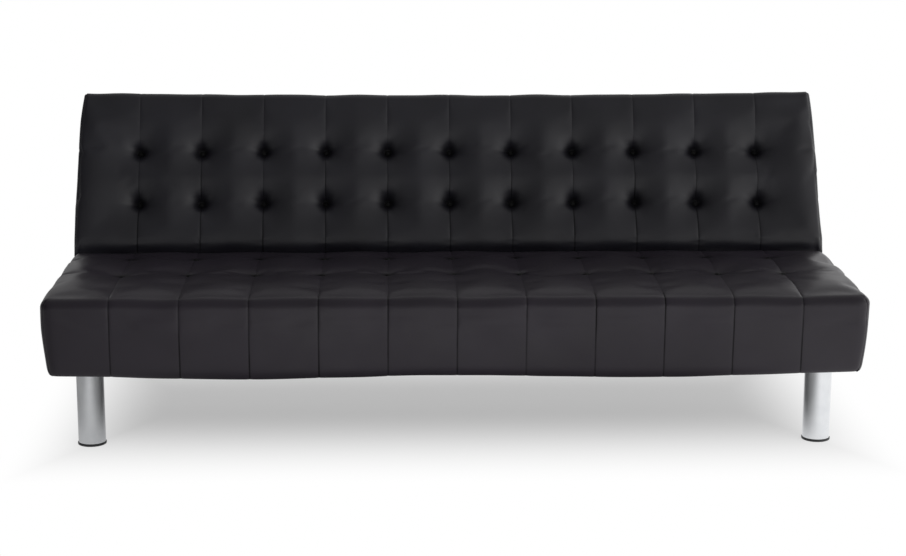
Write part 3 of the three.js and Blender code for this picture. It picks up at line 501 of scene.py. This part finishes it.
def round_edges(form, x, y, depth):
    """Carries the points of a sharp box to a crowned box with rounded edges and upright corners."""
    middle_x = form.half - form.end_radius
    dx = np.clip((np.abs(x) - middle_x) / form.end_radius, 0, 1)
    start = np.clip(1 - y / form.start_radius, 0, 1)
    finish = np.clip(1 - (form.length - y) / form.finish_radius, 0, 1)
    dy = start + finish
    radius_y = np.where(y < form.length / 2, form.start_radius, form.finish_radius)
    mixed = (form.end_radius * dx + radius_y * dy) / np.maximum(dx + dy, TINY)
    radius = np.where(dx + dy > 0, mixed, radius_y)
    level = np.minimum(1, (dx**SHARP + dy**SHARP) ** (1 / SHARP))
    angle = math.pi / 4 * (1 + np.minimum(1, depth / radius))
    out_x = np.minimum(np.abs(x), middle_x) + form.end_radius * np.sin(angle * dx)
    start_y = form.start_radius * (1 - np.sin(angle * start))
    finish_y = form.length - form.finish_radius * (1 - np.sin(angle * finish))
    out_y = np.where(start > 0, start_y, np.where(finish > 0, finish_y, y))
    fall = crown_fall(form, x, y)
    z = form.height - fall - radius * (1 - np.cos(angle * level)) - np.maximum(0, depth - radius)
    z = z - (form.crown - fall) * depth / (form.height - form.crown)

    reach_x = np.maximum(0, out_x - (form.half - form.plan_radius)) / form.plan_radius
    low_y, high_y = form.plan_radius, form.length - form.plan_radius
    reach_y = np.maximum(0, np.maximum(low_y - out_y, out_y - high_y)) / form.plan_radius
    share = np.maximum(reach_x, reach_y) / np.maximum(np.hypot(reach_x, reach_y), TINY)
    corner = (reach_x > 0) & (reach_y > 0)
    out_x = np.where(corner, form.half - form.plan_radius * (1 - reach_x * share), out_x)
    turn_y = form.plan_radius * reach_y * share
    corner_y = np.where(out_y < form.length / 2, low_y - turn_y, high_y + turn_y)
    return out_x, np.where(corner, corner_y, out_y), z


def shape_cover(form, x, y, depth):
    """The plain form of a cover, before its seams and tufts: its lower edge turned under, its ends
    drawn in and its hem let down between the places where it is held."""
    out_x, out_y, z = round_edges(form, x, y, depth)
    side = form.height - form.crown
    turned = np.clip((depth - side + form.foot_radius) / form.foot_radius, 0, 1) * math.pi / 2
    under = 1 - np.cos(turned)
    z = z + form.foot_radius * (turned / (math.pi / 2) - np.sin(turned))
    on_end = np.abs(x) > form.half - CLOSE
    at_start, at_finish = y < CLOSE, y > form.length - CLOSE
    end_reach, start_reach, finish_reach = form.foot_reach
    out_x = out_x - np.where(on_end, end_reach * under, 0)
    out_y = out_y + np.where(at_start, start_reach * under, 0) - np.where(at_finish, finish_reach * under, 0)
    lean = np.clip((depth - TAPER_START * side) / ((1 - TAPER_START) * side), 0, 1)
    by_end = smooth_step(np.abs(x), form.half - TAPER_BAND, form.half)
    out_x = out_x - form.end_taper * lean**TAPER_CURVE * by_end
    out_y = out_y + form.start_taper * lean * (1 - smooth_step(y, 0, TAPER_BAND))
    above = np.clip((y / form.length - DRAW_START) / (1 - DRAW_START), 0, 1)
    held = 1 - DRAW_HOLD * np.clip(depth / side, 0, 1)
    last_half_panel = smooth_step(np.abs(x), form.half - PANEL_WIDTH / 2, form.half)
    out_x = out_x - form.draw * above**2 * held * last_half_panel
    low = 1 - smooth_step(y, 0, FLARE_END * form.length)
    out_x = out_x + form.flare * low * smooth_step(np.abs(x), form.half - PANEL_WIDTH, form.half)
    near_top = smooth_step(y, form.length * DIP_START, form.length)
    dip = form.top_dip * (DIP_MIDDLE - (x / form.half) ** 2) * near_top
    out_y = out_y - dip * (1 - smooth_step(depth, *DIP_DEPTHS))
    waved = HEM_WAVE * np.cos(2 * math.pi * (x + HEM_WAVE_START) / HEM_WAVE_LENGTH)
    hem = HEM_END_LIFT * (x / form.half) ** 6 - HEM_DROP - waved
    z = z + form.hem * hem * (depth / side) ** 3
    return np.stack([np.sign(x) * out_x, out_y, z], 1)


def upholstery_relief(form, x, y, depth):
    """How far the leather stands out of its plain form: seams, tufts, pleats and ease. With it come each
    point's distance from a seam, its place along that seam, and the painted shade of the nearest tuft."""
    rng = np.random.default_rng(form.seed)
    offset = x[:, None] - SEAMS[None, :]
    nearest = np.abs(offset).argmin(1)
    seam = np.abs(offset[np.arange(len(x)), nearest])
    run = np.where(y < form.length / 2, y - depth, y + depth)
    pit, pleats, shade = np.zeros((3, len(x)))
    for row in form.tuft_rows:
        for column in SEAMS:
            r = np.hypot(x - column, y - row)
            near = (r < PIT_END) & (depth == 0)
            distance = np.maximum(r[near], PIT_RADIUS)
            beyond = PIT_RADIUS - distance
            steep, wide = np.exp(beyond / PIT_STEEP), np.exp(beyond / PIT_WIDE)
            funnel = PIT_STEEP_SHARE * steep + (1 - PIT_STEEP_SHARE) * wide
            funnel = funnel * (1 - smooth_step(distance, PIT_FADE, PIT_END))
            pit[near] = np.maximum(pit[near], rng.uniform(*PIT_VARIETY) * funnel)
            # painted shade round the tuft, not a shape: it only darkens the leather's colour and reflection
            painted_shade = TUFT_SHADE * np.exp(-((beyond / TUFT_SHADE_REACH) ** 2))
            shade[near] = np.maximum(shade[near], painted_shade)
            angle = np.arctan2(y[near] - row, x[near] - column)
            window = np.exp(-(((distance - PLEAT_PLACE) / PLEAT_REACH) ** 2))
            for turns in PLEAT_TURNS:
                wave = np.sin(turns * angle + rng.uniform(0, 2 * math.pi)) * rng.uniform(*PLEAT_VARIETY)
                pleats[near] += PLEAT_DEPTH * wave * window
    slack = np.clip(1 - pit, 0, 1)
    crease = -form.crease * np.exp(-np.hypot(seam, CREASE_ROUND) / CREASE_REACH) * slack
    dish = -form.dish * np.exp(-((seam / DISH_REACH) ** 2)) * slack
    phase = rng.uniform(0, 2 * math.pi, len(SEAMS))[nearest]
    gather = GATHER_DEPTH * np.sin(2 * math.pi * run / GATHER_LENGTH + phase)
    gather = gather * np.exp(-((seam / GATHER_REACH) ** 2))
    end_seam = form.half - np.abs(x) + np.minimum(depth, np.minimum(y, form.length - y))
    joint = -JOINT_DEPTH * np.exp(-end_seam / JOINT_REACH)
    ease = np.zeros(len(x))
    for _ in range(EASE_WAVES):
        length = rng.uniform(*EASE_LENGTHS)
        heading = rng.uniform(0, math.pi)
        along = x * math.cos(heading) + run * math.sin(heading)
        ease += EASE_DEPTH * np.sin(2 * math.pi * along / length + rng.uniform(0, 2 * math.pi))
    side = form.height - form.crown
    thin = np.where(y < form.length / 2, form.thin_walls[0], form.thin_walls[1]) & (np.abs(x) < form.half)
    tacked = smooth_step(depth, FREE_DEPTHS[0] * side, FREE_DEPTHS[1] * side)
    free = 1 - np.where(thin, THIN_HOLD, THICK_HOLD) * tacked
    out = (crease + dish + gather + joint + ease) * free + pleats - form.tuft_depth * np.minimum(pit, 1)
    # pushes the seam distance up over the face, so the painted seam shade, its dust and the stitches fade
    # there
    seam_fade_part = (depth == 0) | (y > form.length - CLOSE)
    seam_distance = np.minimum(seam, end_seam)
    seam_distance += form.seam_fade * smooth_step(y, *form.seam_fade_span) * seam_fade_part
    return out, seam_distance, np.where(seam < end_seam, run, y + x), shade


def firmness_of_hold(form, x, y, depth):
    """How firmly the twines, the seams, the rolled edges and the tacks hold each point of the leather."""
    side = form.height - form.crown
    tacked = smooth_step(depth, TACK_DEPTHS[0] * side, TACK_DEPTHS[1] * side)
    seam = np.abs(x[:, None] - SEAMS[None, :]).min(1)
    sewn = SEAM_HOLD * np.exp(-seam / SEAM_HOLD_REACH)
    tufts = np.zeros(len(x))
    for row in form.tuft_rows:
        at_tuft = (np.hypot(seam, y - row) < PIT_RADIUS + TUFT_HOLD_REACH) & (depth == 0)
        tufts = np.maximum(tufts, at_tuft)
    to_edge = np.minimum(y, form.length - y) + depth
    rolled = EDGE_HOLD * np.exp(-((to_edge / EDGE_HOLD_REACH) ** 2))
    return np.maximum.reduce([tacked, sewn, tufts, rolled])


def settle_leather(form, points, quads, held):
    """Cloth that fills out over the foam under a little pressure. held says how firmly each point is
    kept, from 0 to 1. The result is the new places of the points."""
    mesh = make_mesh(form.name + "_settling", points, quads.tolist())
    sheet = add_object(mesh.name, mesh)
    group = sheet.vertex_groups.new(name="held")
    for firmness in np.unique(held):
        group.add(np.flatnonzero(held == firmness).tolist(), float(firmness), "REPLACE")
    cloth = sheet.modifiers.new("settle", "CLOTH")
    cloth.settings.quality = 5
    cloth.settings.mass = 0.3
    cloth.settings.tension_stiffness = cloth.settings.compression_stiffness = 15
    cloth.settings.shear_stiffness = 8
    cloth.settings.bending_stiffness = 4
    cloth.settings.vertex_group_mass = group.name
    cloth.settings.shrink_min = -0.003
    cloth.settings.use_pressure = True
    cloth.settings.uniform_pressure_force = form.pressure
    cloth.settings.effector_weights.gravity = 0
    cloth.point_cache.frame_start, cloth.point_cache.frame_end = 1, SETTLE_FRAMES
    for number in range(1, SETTLE_FRAMES + 1):
        bpy.context.scene.frame_set(number)
    settled = np.empty(3 * len(points), np.float32)
    sheet.evaluated_get(bpy.context.evaluated_depsgraph_get()).data.vertices.foreach_get("co", settled)
    bpy.data.objects.remove(sheet)
    bpy.data.meshes.remove(mesh)
    bpy.context.scene.frame_set(1)
    moved = settled.reshape(-1, 3) - points
    far = np.linalg.norm(moved, axis=1, keepdims=True)
    return points + moved * np.minimum(1, SETTLE_CAP / np.maximum(far, TINY))


def close_under(form, points, rim_x, rim_y, rim):
    """Rings of points that turn the cover's lower edge inwards, and up to the flat under its foam."""
    half, low, high = form.inner
    inner_x = rim_x / form.half * half
    inner_y = low + rim_y / form.length * (high - low)
    middle = (low + high) / 2
    lip_x = inner_x * (half - form.lip) / half
    lip_y = middle + (inner_y - middle) * (1 - 2 * form.lip / (high - low))
    foot = np.where(in_notch(form, rim_x, rim_y), form.notch_height, 0)
    inside = foot + form.lip_thickness
    rings = [(lip_x, lip_y, foot), (lip_x, lip_y, inside), (inner_x, inner_y, inside)]
    rings.append((inner_x, inner_y, np.full(len(rim_x), form.wall)))
    quads = []
    upper = rim
    for ring in rings:
        lower = len(points) + np.arange(len(upper))
        points = np.concatenate([points, np.stack(ring, 1)])
        quads.append(ring_quads(upper, lower))
        upper = lower
    return points, np.concatenate(quads), upper


def make_cover(form, replaced):
    """The tufted leather with its foam, as one closed piece that sits on its frame."""
    x, y, depth, quads, rim = box_sheet(form)
    side = form.height - form.crown
    depth = np.where(in_notch(form, x, y), depth * (side - form.notch_height) / side, depth)
    points = shape_cover(form, x, y, depth)
    out, seam, run, shade = upholstery_relief(form, x, y, depth)
    points += point_normals(points, quads) * out[:, None]
    held = np.round(HOLD_STEPS * firmness_of_hold(form, x, y, depth)) / HOLD_STEPS
    points = settle_leather(form, points, quads, held)
    outer = len(points)
    points, under, top = close_under(form, points, x[rim], y[rim], rim)
    faces = [*quads.tolist(), *under.tolist(), top[::-1].tolist()]
    mesh = make_mesh(form.name, carry(points, form.place), faces)
    for name, values, inside in (("seam_distance", seam, 1), ("seam_run", run, 1), ("tuft_shade", shade, 0)):
        filled = np.concatenate([values, np.full(len(points) - outer, inside)]).astype(np.float32)
        mesh.attributes.new(name, "FLOAT", "POINT").data.foreach_set("value", filled)
    cover = place_piece(mesh, form.name, form.leather, form.body)
    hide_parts(*replaced)


make_cover(SEAT, ["seat_cushion", "seat_front_border", "seat_end_border_left", "seat_end_border_right"])
make_cover(BACKREST, ["back_cushion"])


# Turned and block-shaped pieces
def lathe(bm, profile, sides, place):
    """Turns a profile of radius and height round the Z axis, and puts it at a place."""
    rings = []
    for radius, height in profile:
        spokes = [2 * math.pi * k / sides for k in range(sides if radius else 1)]
        rings.append([bm.verts.new(place @ Vector((radius * math.cos(a), radius * math.sin(a), height)))
                      for a in spokes])
    for lower, upper in zip(rings, rings[1:]):
        for k in range(sides):
            corners = [lower[k % len(lower)], upper[k % len(upper)]]
            corners += [upper[(k + 1) % len(upper)], lower[(k + 1) % len(lower)]]
            face = list(dict.fromkeys(corners))
            if len(face) > 2:
                bm.faces.new(face)


def add_block(bm, low, high, place):
    middle, size = (Vector(low) + Vector(high)) / 2, Vector(high) - Vector(low)
    box = place @ Matrix.Translation(middle) @ Matrix.Diagonal((*size, 1))
    bmesh.ops.create_cube(bm, size=1.0, matrix=box)


def finish_bmesh(bm, name, material, body, smooth_angle=40):
    bmesh.ops.recalc_face_normals(bm, faces=bm.faces)
    mesh = bpy.data.meshes.new(name)
    bm.to_mesh(mesh)
    bm.free()
    mesh.shade_smooth()
    mesh.set_sharp_from_angle(angle=math.radians(smooth_angle))
    return place_piece(mesh, name, material, body)


# Covered buttons, each sunk in its tuft and held by a twine to the tie strip under the foam
BUTTON_SIDES, TWINE_SIDES = 32, 8
TWINE_RADIUS = 0.9 * MM
TIE_WIDTH, TIE_THICKNESS, TIE_GAP = 20 * MM, 1.2 * MM, 0.3 * MM  # of the strip under the foam
BUTTON_RADIUS, BUTTON_DOME, BUTTON_EASE, BUTTON_UNDER = 7 * MM, 4.6 * MM, 1 * MM, 1.8 * MM
BUTTON_LIFT = -0.6 * MM  # from the bottom of its tuft
BUTTON_TILT = 0.12  # the most that a button leans, in radians
DOME_STEPS = 6
DOME_TURNS = [math.pi / 2 * k / DOME_STEPS for k in range(DOME_STEPS + 1)]


def make_button_row(form, row, node, foam):
    """One row of buttons: foam is the height of the foam's underside in the form's flat frame."""
    rng = np.random.default_rng(form.seed + round(row / MM))
    bm = bmesh.new()
    profile = [(BUTTON_RADIUS * math.sin(turn), BUTTON_DOME * math.cos(turn) - BUTTON_EASE)
               for turn in DOME_TURNS]
    profile += [(BUTTON_RADIUS - BUTTON_EASE, -BUTTON_UNDER), (0, -BUTTON_UNDER)]
    tie = foam - TIE_GAP
    for seam in SEAMS:
        bed = form.height - crown_fall(form, seam, row) - form.tuft_depth
        lean, roll = rng.uniform(-BUTTON_TILT, BUTTON_TILT, 2)
        tilt = Matrix.Rotation(lean, 4, "X") @ Matrix.Rotation(roll, 4, "Y")
        place = form.place @ Matrix.Translation((seam, row, bed + BUTTON_LIFT))
        lathe(bm, profile, BUTTON_SIDES, place @ tilt)
        twine = [(0.0, tie), (TWINE_RADIUS, tie), (TWINE_RADIUS, bed), (0.0, bed)]
        lathe(bm, twine, TWINE_SIDES, form.place @ Matrix.Translation((seam, row, 0)))
    reach = SEAMS[-1] + TIE_WIDTH
    low = (-reach, row - TIE_WIDTH / 2, tie - TIE_THICKNESS)
    add_block(bm, low, (reach, row + TIE_WIDTH / 2, tie), form.place)
    buttons = finish_bmesh(bm, node + "_covered", BUTTON_LEATHER, form.body,
                           smooth_angle=50)
    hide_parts(node)


SEAT_DECK = 262 * MM  # height of the foam's underside from the floor
SEAT_FOAM = SEAT_DECK - SEAT_FOOT
for form, foam, nodes in ((SEAT, SEAT_FOAM, ("seat_button_row_front", "seat_button_row_rear")),
                          (BACKREST, BACK_WRAP, ("back_button_row_lower", "back_button_row_upper"))):
    for row, node in zip(form.tuft_rows, nodes):
        make_button_row(form, row, node, foam)


# Legs: a chromed tube welded under a square plate, on a moulded glide
LEG_RADIUS, LEG_WALL, LEG_SIDES = 30 * MM, 2 * MM, 96
LEG_WELD, LEG_LIP = 2.5 * MM, 0.6 * MM  # of the weld under the plate, and of the tube's rounded foot
WELD_TURNS = (0.4, 0.8, 1.2, math.pi / 2)  # radians round the hollow of the weld
PLATE_HALF, PLATE_THICKNESS, PLATE_CORNER, PLATE_EASE = 45 * MM, 5 * MM, 8 * MM, 0.5 * MM
CORNER_STEPS = 6
GLIDE_RADIUS, GLIDE_HEIGHT, GLIDE_PLUG, GLIDE_EASE = 31.5 * MM, 5 * MM, 16 * MM, 1.2 * MM


def add_plate(bm, low, high, place):
    """A square plate with rounded corners and eased edges."""
    corners = []
    for quarter, (across, along) in enumerate([(1, 1), (-1, 1), (-1, -1), (1, -1)]):
        for step in range(CORNER_STEPS + 1):
            angle = math.pi / 2 * (quarter + step / CORNER_STEPS)
            flat = PLATE_HALF - PLATE_CORNER
            corners.append((across * flat + PLATE_CORNER * math.cos(angle),
                            along * flat + PLATE_CORNER * math.sin(angle)))
    eased = 1 - PLATE_EASE / PLATE_HALF
    rings = []
    for z, scale in ((low, eased), (low + PLATE_EASE, 1), (high - PLATE_EASE, 1), (high, eased)):
        rings.append([bm.verts.new(place @ Vector((a * scale, b * scale, z))) for a, b in corners])
    for lower, upper in zip(rings, rings[1:]):
        for k in range(len(corners)):
            m = (k + 1) % len(corners)
            bm.faces.new([lower[k], lower[m], upper[m], upper[k]])
    bm.faces.new(rings[0][::-1])
    bm.faces.new(rings[-1])


def make_leg(end, side):
    """One chromed leg and its glide, where the frame has them."""
    low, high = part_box(f"leg_{end}_{side}")
    place = Matrix.Translation(((low.x + high.x) / 2, (low.y + high.y) / 2, 0))
    bottom, plate_low = low.z, high.z - PLATE_THICKNESS
    inner = LEG_RADIUS - LEG_WALL
    tube = [(inner, plate_low), (inner, bottom + LEG_LIP), (inner + LEG_LIP, bottom)]
    tube += [(LEG_RADIUS - LEG_LIP, bottom), (LEG_RADIUS, bottom + LEG_LIP)]
    tube.append((LEG_RADIUS, plate_low - LEG_WELD))
    for turn in WELD_TURNS:
        swell = LEG_WELD * (1 - math.cos(turn))
        tube.append((LEG_RADIUS + swell, plate_low - LEG_WELD * (1 - math.sin(turn))))
    bm = bmesh.new()
    lathe(bm, [*tube, tube[0]], LEG_SIDES, place)
    bmesh.ops.remove_doubles(bm, verts=bm.verts, dist=0.01 * MM)
    add_plate(bm, plate_low, high.z, place)
    leg = finish_bmesh(bm, f"chromed_leg_{end}_{side}", CHROME, BASE, smooth_angle=35)
    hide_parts(f"leg_{end}_{side}")

    plug = inner - LEG_LIP
    plug_top = GLIDE_HEIGHT + GLIDE_PLUG
    glide = [(0, 0), (GLIDE_RADIUS - GLIDE_EASE, 0), (GLIDE_RADIUS - GLIDE_EASE / 3, GLIDE_EASE / 3)]
    glide += [(GLIDE_RADIUS, GLIDE_EASE), (GLIDE_RADIUS, GLIDE_HEIGHT - GLIDE_EASE / 2)]
    glide += [(GLIDE_RADIUS - GLIDE_EASE / 2, GLIDE_HEIGHT), (plug, GLIDE_HEIGHT)]
    glide += [(plug, plug_top - GLIDE_EASE), (plug - GLIDE_EASE, plug_top), (0, plug_top)]
    bm = bmesh.new()
    lathe(bm, glide, LEG_SIDES, place)
    foot = finish_bmesh(bm, f"moulded_glide_{end}_{side}", PLASTIC, BASE)
    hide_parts(f"glide_{end}_{side}")


for leg_end in ("front", "rear"):
    for leg_side in ("left", "right"):
        make_leg(leg_end, leg_side)


# CAD nodes whose shape is right: their facets are welded, their edges eased, and they get their finish
def dress(node, material, ease, smooth_angle=32):
    piece = frame["nodes"][node]
    piece.data.materials.clear()
    piece.data.materials.append(material)
    join = piece.modifiers.new("join_facets", "WELD")
    join.merge_threshold = 0.01 * MM
    if ease:
        bevel = piece.modifiers.new("ease_edges", "BEVEL")
        bevel.width = ease
        bevel.segments = 2
        bevel.limit_method = "ANGLE"
        bevel.angle_limit = math.radians(smooth_angle)
    piece.data.shade_smooth()
    split = piece.modifiers.new("keep_creases", "EDGE_SPLIT")
    split.split_angle = math.radians(smooth_angle)


BOARDS = {"seat_frame_front": "X", "seat_frame_rear": "X", "seat_frame_left": "Y", "seat_frame_right": "Y",
          "back_frame_bottom": "X", "back_frame_top": "X", "back_frame_left": "Z", "back_frame_right": "Z",
          "back_frame_post": "Z"}
for board, grain in BOARDS.items():
    dress(board, PINE[grain], ease=1.2 * MM)
for rail in ("front_cross_rail", "middle_cross_rail", "rear_cross_rail", "side_rail_left", "side_rail_right"):
    dress(rail, POWDER_COAT, ease=1.0 * MM)
for number in range(1, 7):
    dress(f"seat_spring_{number}", SPRING_WIRE, ease=0, smooth_angle=80)
for number in (1, 2):
    dress(f"back_webbing_{number}", WEBBING, ease=0)
for hand in ("left", "right"):
    for steel in ("hinge_bracket", "hinge_arm"):
        dress(f"{steel}_{hand}", POWDER_COAT, ease=0.6 * MM)
    for plated in ("pivot_pin", "pawl_pin", "arm_bolt_1", "arm_bolt_2", "ratchet_plate", "pawl"):
        dress(f"{plated}_{hand}", ZINC, ease=0.35 * MM)
    dress(f"pawl_spring_{hand}", SPRING_WIRE, ease=0, smooth_angle=80)


# Lining cloth, stapled round its edge: under the seat, and on the rear of the back
CLOTH_STEP, STAPLE_STEP = 14 * MM, 70 * MM  # between the points of a cloth, and between its staples
PUCKER, PUCKER_REACH = 0.7 * MM, 22 * MM  # height of the folds at the staples, and how far in they reach
SLACK_SHARE, SLACK_X, SLACK_Y = 0.25, 90 * MM, 70 * MM  # uneven sag: how much, and over what lengths
SLACK_TURN = 1  # radians that its waves are shifted by along Y
SAG_RUN = 110 * MM  # from the boards to the full sag
LEG_CLEAR = 4 * MM  # between the lining's cut corner and a leg plate
SEAT_LINING_DROP, BACK_LINING_DROP = 0.8 * MM, 1.3 * MM  # from the boards: room for the puckers


def stapled_cloth(name, node, body, low, high, cut, sag, flat_edge, thickness, place):
    """A sheet between two corners of a flat frame of its own, with its front corners cut away at cut.
    It sags by sag beyond the flat edge that its boards hold, and puckers between its staples."""
    columns = places_between([low[0], high[0], -cut[0], cut[0]], CLOTH_STEP)
    rows = places_between([low[1], high[1], cut[1]], CLOTH_STEP)
    x, y = (grid.ravel() for grid in np.meshgrid(columns, rows))
    to_side = np.minimum(x - low[0], high[0] - x)
    to_end = np.minimum(y - low[1], high[1] - y)
    to_side = np.where(y < cut[1], np.minimum(to_side, cut[0] - np.abs(x)), to_side)
    to_end = np.where(np.abs(x) > cut[0], np.minimum(to_end, y - cut[1]), to_end)
    edge = np.minimum(to_side, to_end)
    along = np.where(to_side < to_end, y, x)
    pucker = PUCKER * np.sin(2 * math.pi * along / STAPLE_STEP) * np.exp(-edge / PUCKER_REACH)
    slack = 1 + SLACK_SHARE * np.sin(x / SLACK_X) * np.sin(y / SLACK_Y + SLACK_TURN)
    hang = smooth_step(edge, flat_edge, flat_edge + SAG_RUN)
    z = sag * slack * hang + pucker * math.copysign(1, sag)
    index = np.arange(len(x)).reshape(len(rows), len(columns))
    quads = grid_quads(index)
    middle_x, middle_y = x[quads].mean(1), y[quads].mean(1)
    kept = quads[(np.abs(middle_x) < cut[0]) | (middle_y > cut[1])]
    used, renumbered = np.unique(kept, return_inverse=True)
    points = carry(np.stack([x, y, z], 1)[used], place)
    mesh = make_mesh(name, points, renumbered.reshape(-1, 4).tolist())
    sheet = place_piece(mesh, name, LINING, body)
    ply = sheet.modifiers.new("cloth_thickness", "SOLIDIFY")
    ply.thickness, ply.offset = thickness, 0
    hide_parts(node)


dust_low, dust_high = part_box("seat_dust_cover")
plate_low, plate_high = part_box("leg_front_right")
stapled_cloth("stapled_seat_lining", "seat_dust_cover", BASE, low=dust_low.xy, high=dust_high.xy,
              cut=(plate_low.x - LEG_CLEAR, plate_high.y + LEG_CLEAR), sag=-4 * MM, flat_edge=45 * MM,
              thickness=0.6 * MM, place=Matrix.Translation((0, 0, dust_high.z - SEAT_LINING_DROP)))
boards_half, boards_low, boards_high = 885 * MM, 3 * MM, 415 * MM  # of the back's frame
stapled_cloth("stapled_back_lining", "back_rear_cover", BACK, low=(-boards_half, boards_low),
              high=(boards_half, boards_high), cut=(boards_half, boards_low), sag=-3 * MM, flat_edge=55 * MM,
              thickness=0.8 * MM, place=BACKREST.place @ Matrix.Translation((0, 0, -BACK_LINING_DROP)))


# Studio: a wide pale floor that turns pure white for the camera away from the sofa, and soft light
FLOOR_REACH = 40.0
SHADOW_FADE = [("X", 0.66, 0.98), ("Y", 0.08, 0.62)]  # where the camera's floor turns white
MIRROR_FADE = [("X", 0.50, 0.92), ("Y", 0.55, 1.0)]  # where the mirrored floor turns white
MIRROR_LEFT = 0.05  # share of that white that mirrors see on the left: a painted darker reflection there
MIRROR_DIM, MIRROR_FULL = -1.1, -0.4  # X where that share is the least, and where it is 1
SHADOW_LIFT = 0.42  # the least share of white that the camera sees under the sofa: painted light that lightens its shadow
DOME_LOW, DOME_HIGH = 1.0, 0.46  # strength at the horizon and overhead
DOME_LEFT, DOME_RIGHT = 0.14, 1.3  # times that strength on each side of the sofa
DOME_FRONT, DOME_BEHIND = 1.0, 1.35  # and times that in front of it and behind it
DOME_RISE, DOME_SIDE, DOME_DEPTH = 0.6, 0.9, 0.7  # how far along each axis the strengths are reached


def whiteness(tree, parts, limits):
    """How white the floor is, from 0 round its middle to 1 past the farther limit on either axis."""
    shares = []
    for axis, near, far in limits:
        reach = add_node(tree, "ShaderNodeMath", {0: parts.outputs[axis]}, operation="ABSOLUTE").outputs[0]
        span = {"Value": reach, "From Min": near, "From Max": far}
        step = add_node(tree, "ShaderNodeMapRange", span, interpolation_type="SMOOTHSTEP")
        shares.append(step.outputs["Result"])
    return add_node(tree, "ShaderNodeMath", {0: shares[0], 1: shares[1]}, operation="MAXIMUM").outputs[0]


def make_floor():
    half = FLOOR_REACH
    mesh = bpy.data.meshes.new("studio_floor")
    corners = [(-half, -half, 0), (half, -half, 0), (half, half, 0), (-half, half, 0)]
    mesh.from_pydata(corners, [], [(0, 1, 2, 3)])
    floor = add_object("studio_floor", mesh)
    material = bpy.data.materials.new("painted_studio_floor")
    material.use_nodes = True
    tree = material.node_tree
    tree.nodes.remove(tree.nodes["Principled BSDF"])
    place = add_node(tree, "ShaderNodeTexCoord").outputs["Object"]
    parts = add_node(tree, "ShaderNodeSeparateXYZ", {0: place})
    # painted light: the camera sees a glowing share of white even in the sofa's shadow
    lift = {"Value": whiteness(tree, parts, SHADOW_FADE), "To Min": SHADOW_LIFT}
    lifted = add_node(tree, "ShaderNodeMapRange", lift).outputs["Result"]
    # painted darker reflection: mirrors see less of the floor's white towards the left
    leftwards = {"Value": parts.outputs["X"], "From Min": MIRROR_DIM, "From Max": MIRROR_FULL,
                 "To Min": MIRROR_LEFT}
    sideways = add_node(tree, "ShaderNodeMapRange", leftwards).outputs["Result"]
    mirror = {0: whiteness(tree, parts, MIRROR_FADE), 1: sideways}
    dimmed = add_node(tree, "ShaderNodeMath", mirror, operation="MULTIPLY").outputs[0]
    path = add_node(tree, "ShaderNodeLightPath")
    seen = {0: lifted, 1: path.outputs["Is Camera Ray"]}
    for_camera = add_node(tree, "ShaderNodeMath", seen, operation="MULTIPLY").outputs[0]
    bounced = {0: path.outputs["Is Glossy Ray"], 1: path.outputs["Is Transmission Ray"]}
    reflected = add_node(tree, "ShaderNodeMath", bounced, operation="MAXIMUM").outputs[0]
    mirrored = {0: dimmed, 1: reflected}
    for_mirrors = add_node(tree, "ShaderNodeMath", mirrored, operation="MULTIPLY").outputs[0]
    share = add_node(tree, "ShaderNodeMath", {0: for_camera, 1: for_mirrors}, operation="MAXIMUM").outputs[0]
    paint = add_node(tree, "ShaderNodeBsdfDiffuse", {"Color": srgb("#ececec")}).outputs[0]
    white = add_node(tree, "ShaderNodeEmission", {"Color": (1, 1, 1, 1), "Strength": 1.0}).outputs[0]
    mixed = add_node(tree, "ShaderNodeMixShader", {0: share, 1: paint, 2: white}).outputs[0]
    tree.links.new(mixed, tree.nodes["Material Output"].inputs["Surface"])
    mesh.materials.append(material)


def make_world():
    world = bpy.data.worlds.new("studio")
    bpy.context.scene.world = world
    world.use_nodes = True
    tree = world.node_tree
    tree.nodes.remove(tree.nodes["Background"])
    direction = add_node(tree, "ShaderNodeTexCoord").outputs["Generated"]
    parts = add_node(tree, "ShaderNodeSeparateXYZ", {0: direction})
    up = {"Value": parts.outputs["Z"], "From Max": DOME_RISE, "To Min": DOME_LOW, "To Max": DOME_HIGH}
    height = add_node(tree, "ShaderNodeMapRange", up, interpolation_type="SMOOTHSTEP").outputs["Result"]
    right = {"Value": parts.outputs["X"], "From Min": -DOME_SIDE, "From Max": DOME_SIDE,
             "To Min": DOME_LEFT, "To Max": DOME_RIGHT}
    sideways = add_node(tree, "ShaderNodeMapRange", right).outputs["Result"]
    behind = {"Value": parts.outputs["Y"], "From Max": DOME_DEPTH,
              "To Min": DOME_FRONT, "To Max": DOME_BEHIND}
    lengthways = add_node(tree, "ShaderNodeMapRange", behind).outputs["Result"]
    level = add_node(tree, "ShaderNodeMath", {0: height, 1: sideways}, operation="MULTIPLY").outputs[0]
    strength = add_node(tree, "ShaderNodeMath", {0: level, 1: lengthways}, operation="MULTIPLY").outputs[0]
    dome = add_node(tree, "ShaderNodeBackground", {"Color": (1, 1, 1, 1), "Strength": strength}).outputs[0]
    white = add_node(tree, "ShaderNodeBackground", {"Color": (1, 1, 1, 1), "Strength": 1.0}).outputs[0]
    seen = add_node(tree, "ShaderNodeLightPath").outputs["Is Camera Ray"]
    mixed = add_node(tree, "ShaderNodeMixShader", {0: seen, 1: dome, 2: white}).outputs[0]
    tree.links.new(mixed, tree.nodes["World Output"].inputs["Surface"])


def add_softbox(name, place, target, width, height, watts):
    data = bpy.data.lights.new(name, "AREA")
    data.shape = "RECTANGLE"
    data.size, data.size_y = width, height
    data.energy = watts
    lamp = add_object(name, data)
    aim = (Vector(target) - Vector(place)).to_track_quat("-Z", "Y")
    lamp.matrix_world = Matrix.Translation(place) @ aim.to_matrix().to_4x4()


make_floor()
make_world()
add_softbox("side_softbox", place=(5.2, -4.2, 3.0), target=(0, 0, 0.35), width=5.0, height=4.0, watts=25)

bpy.context.scene.view_settings.view_transform = "Standard"
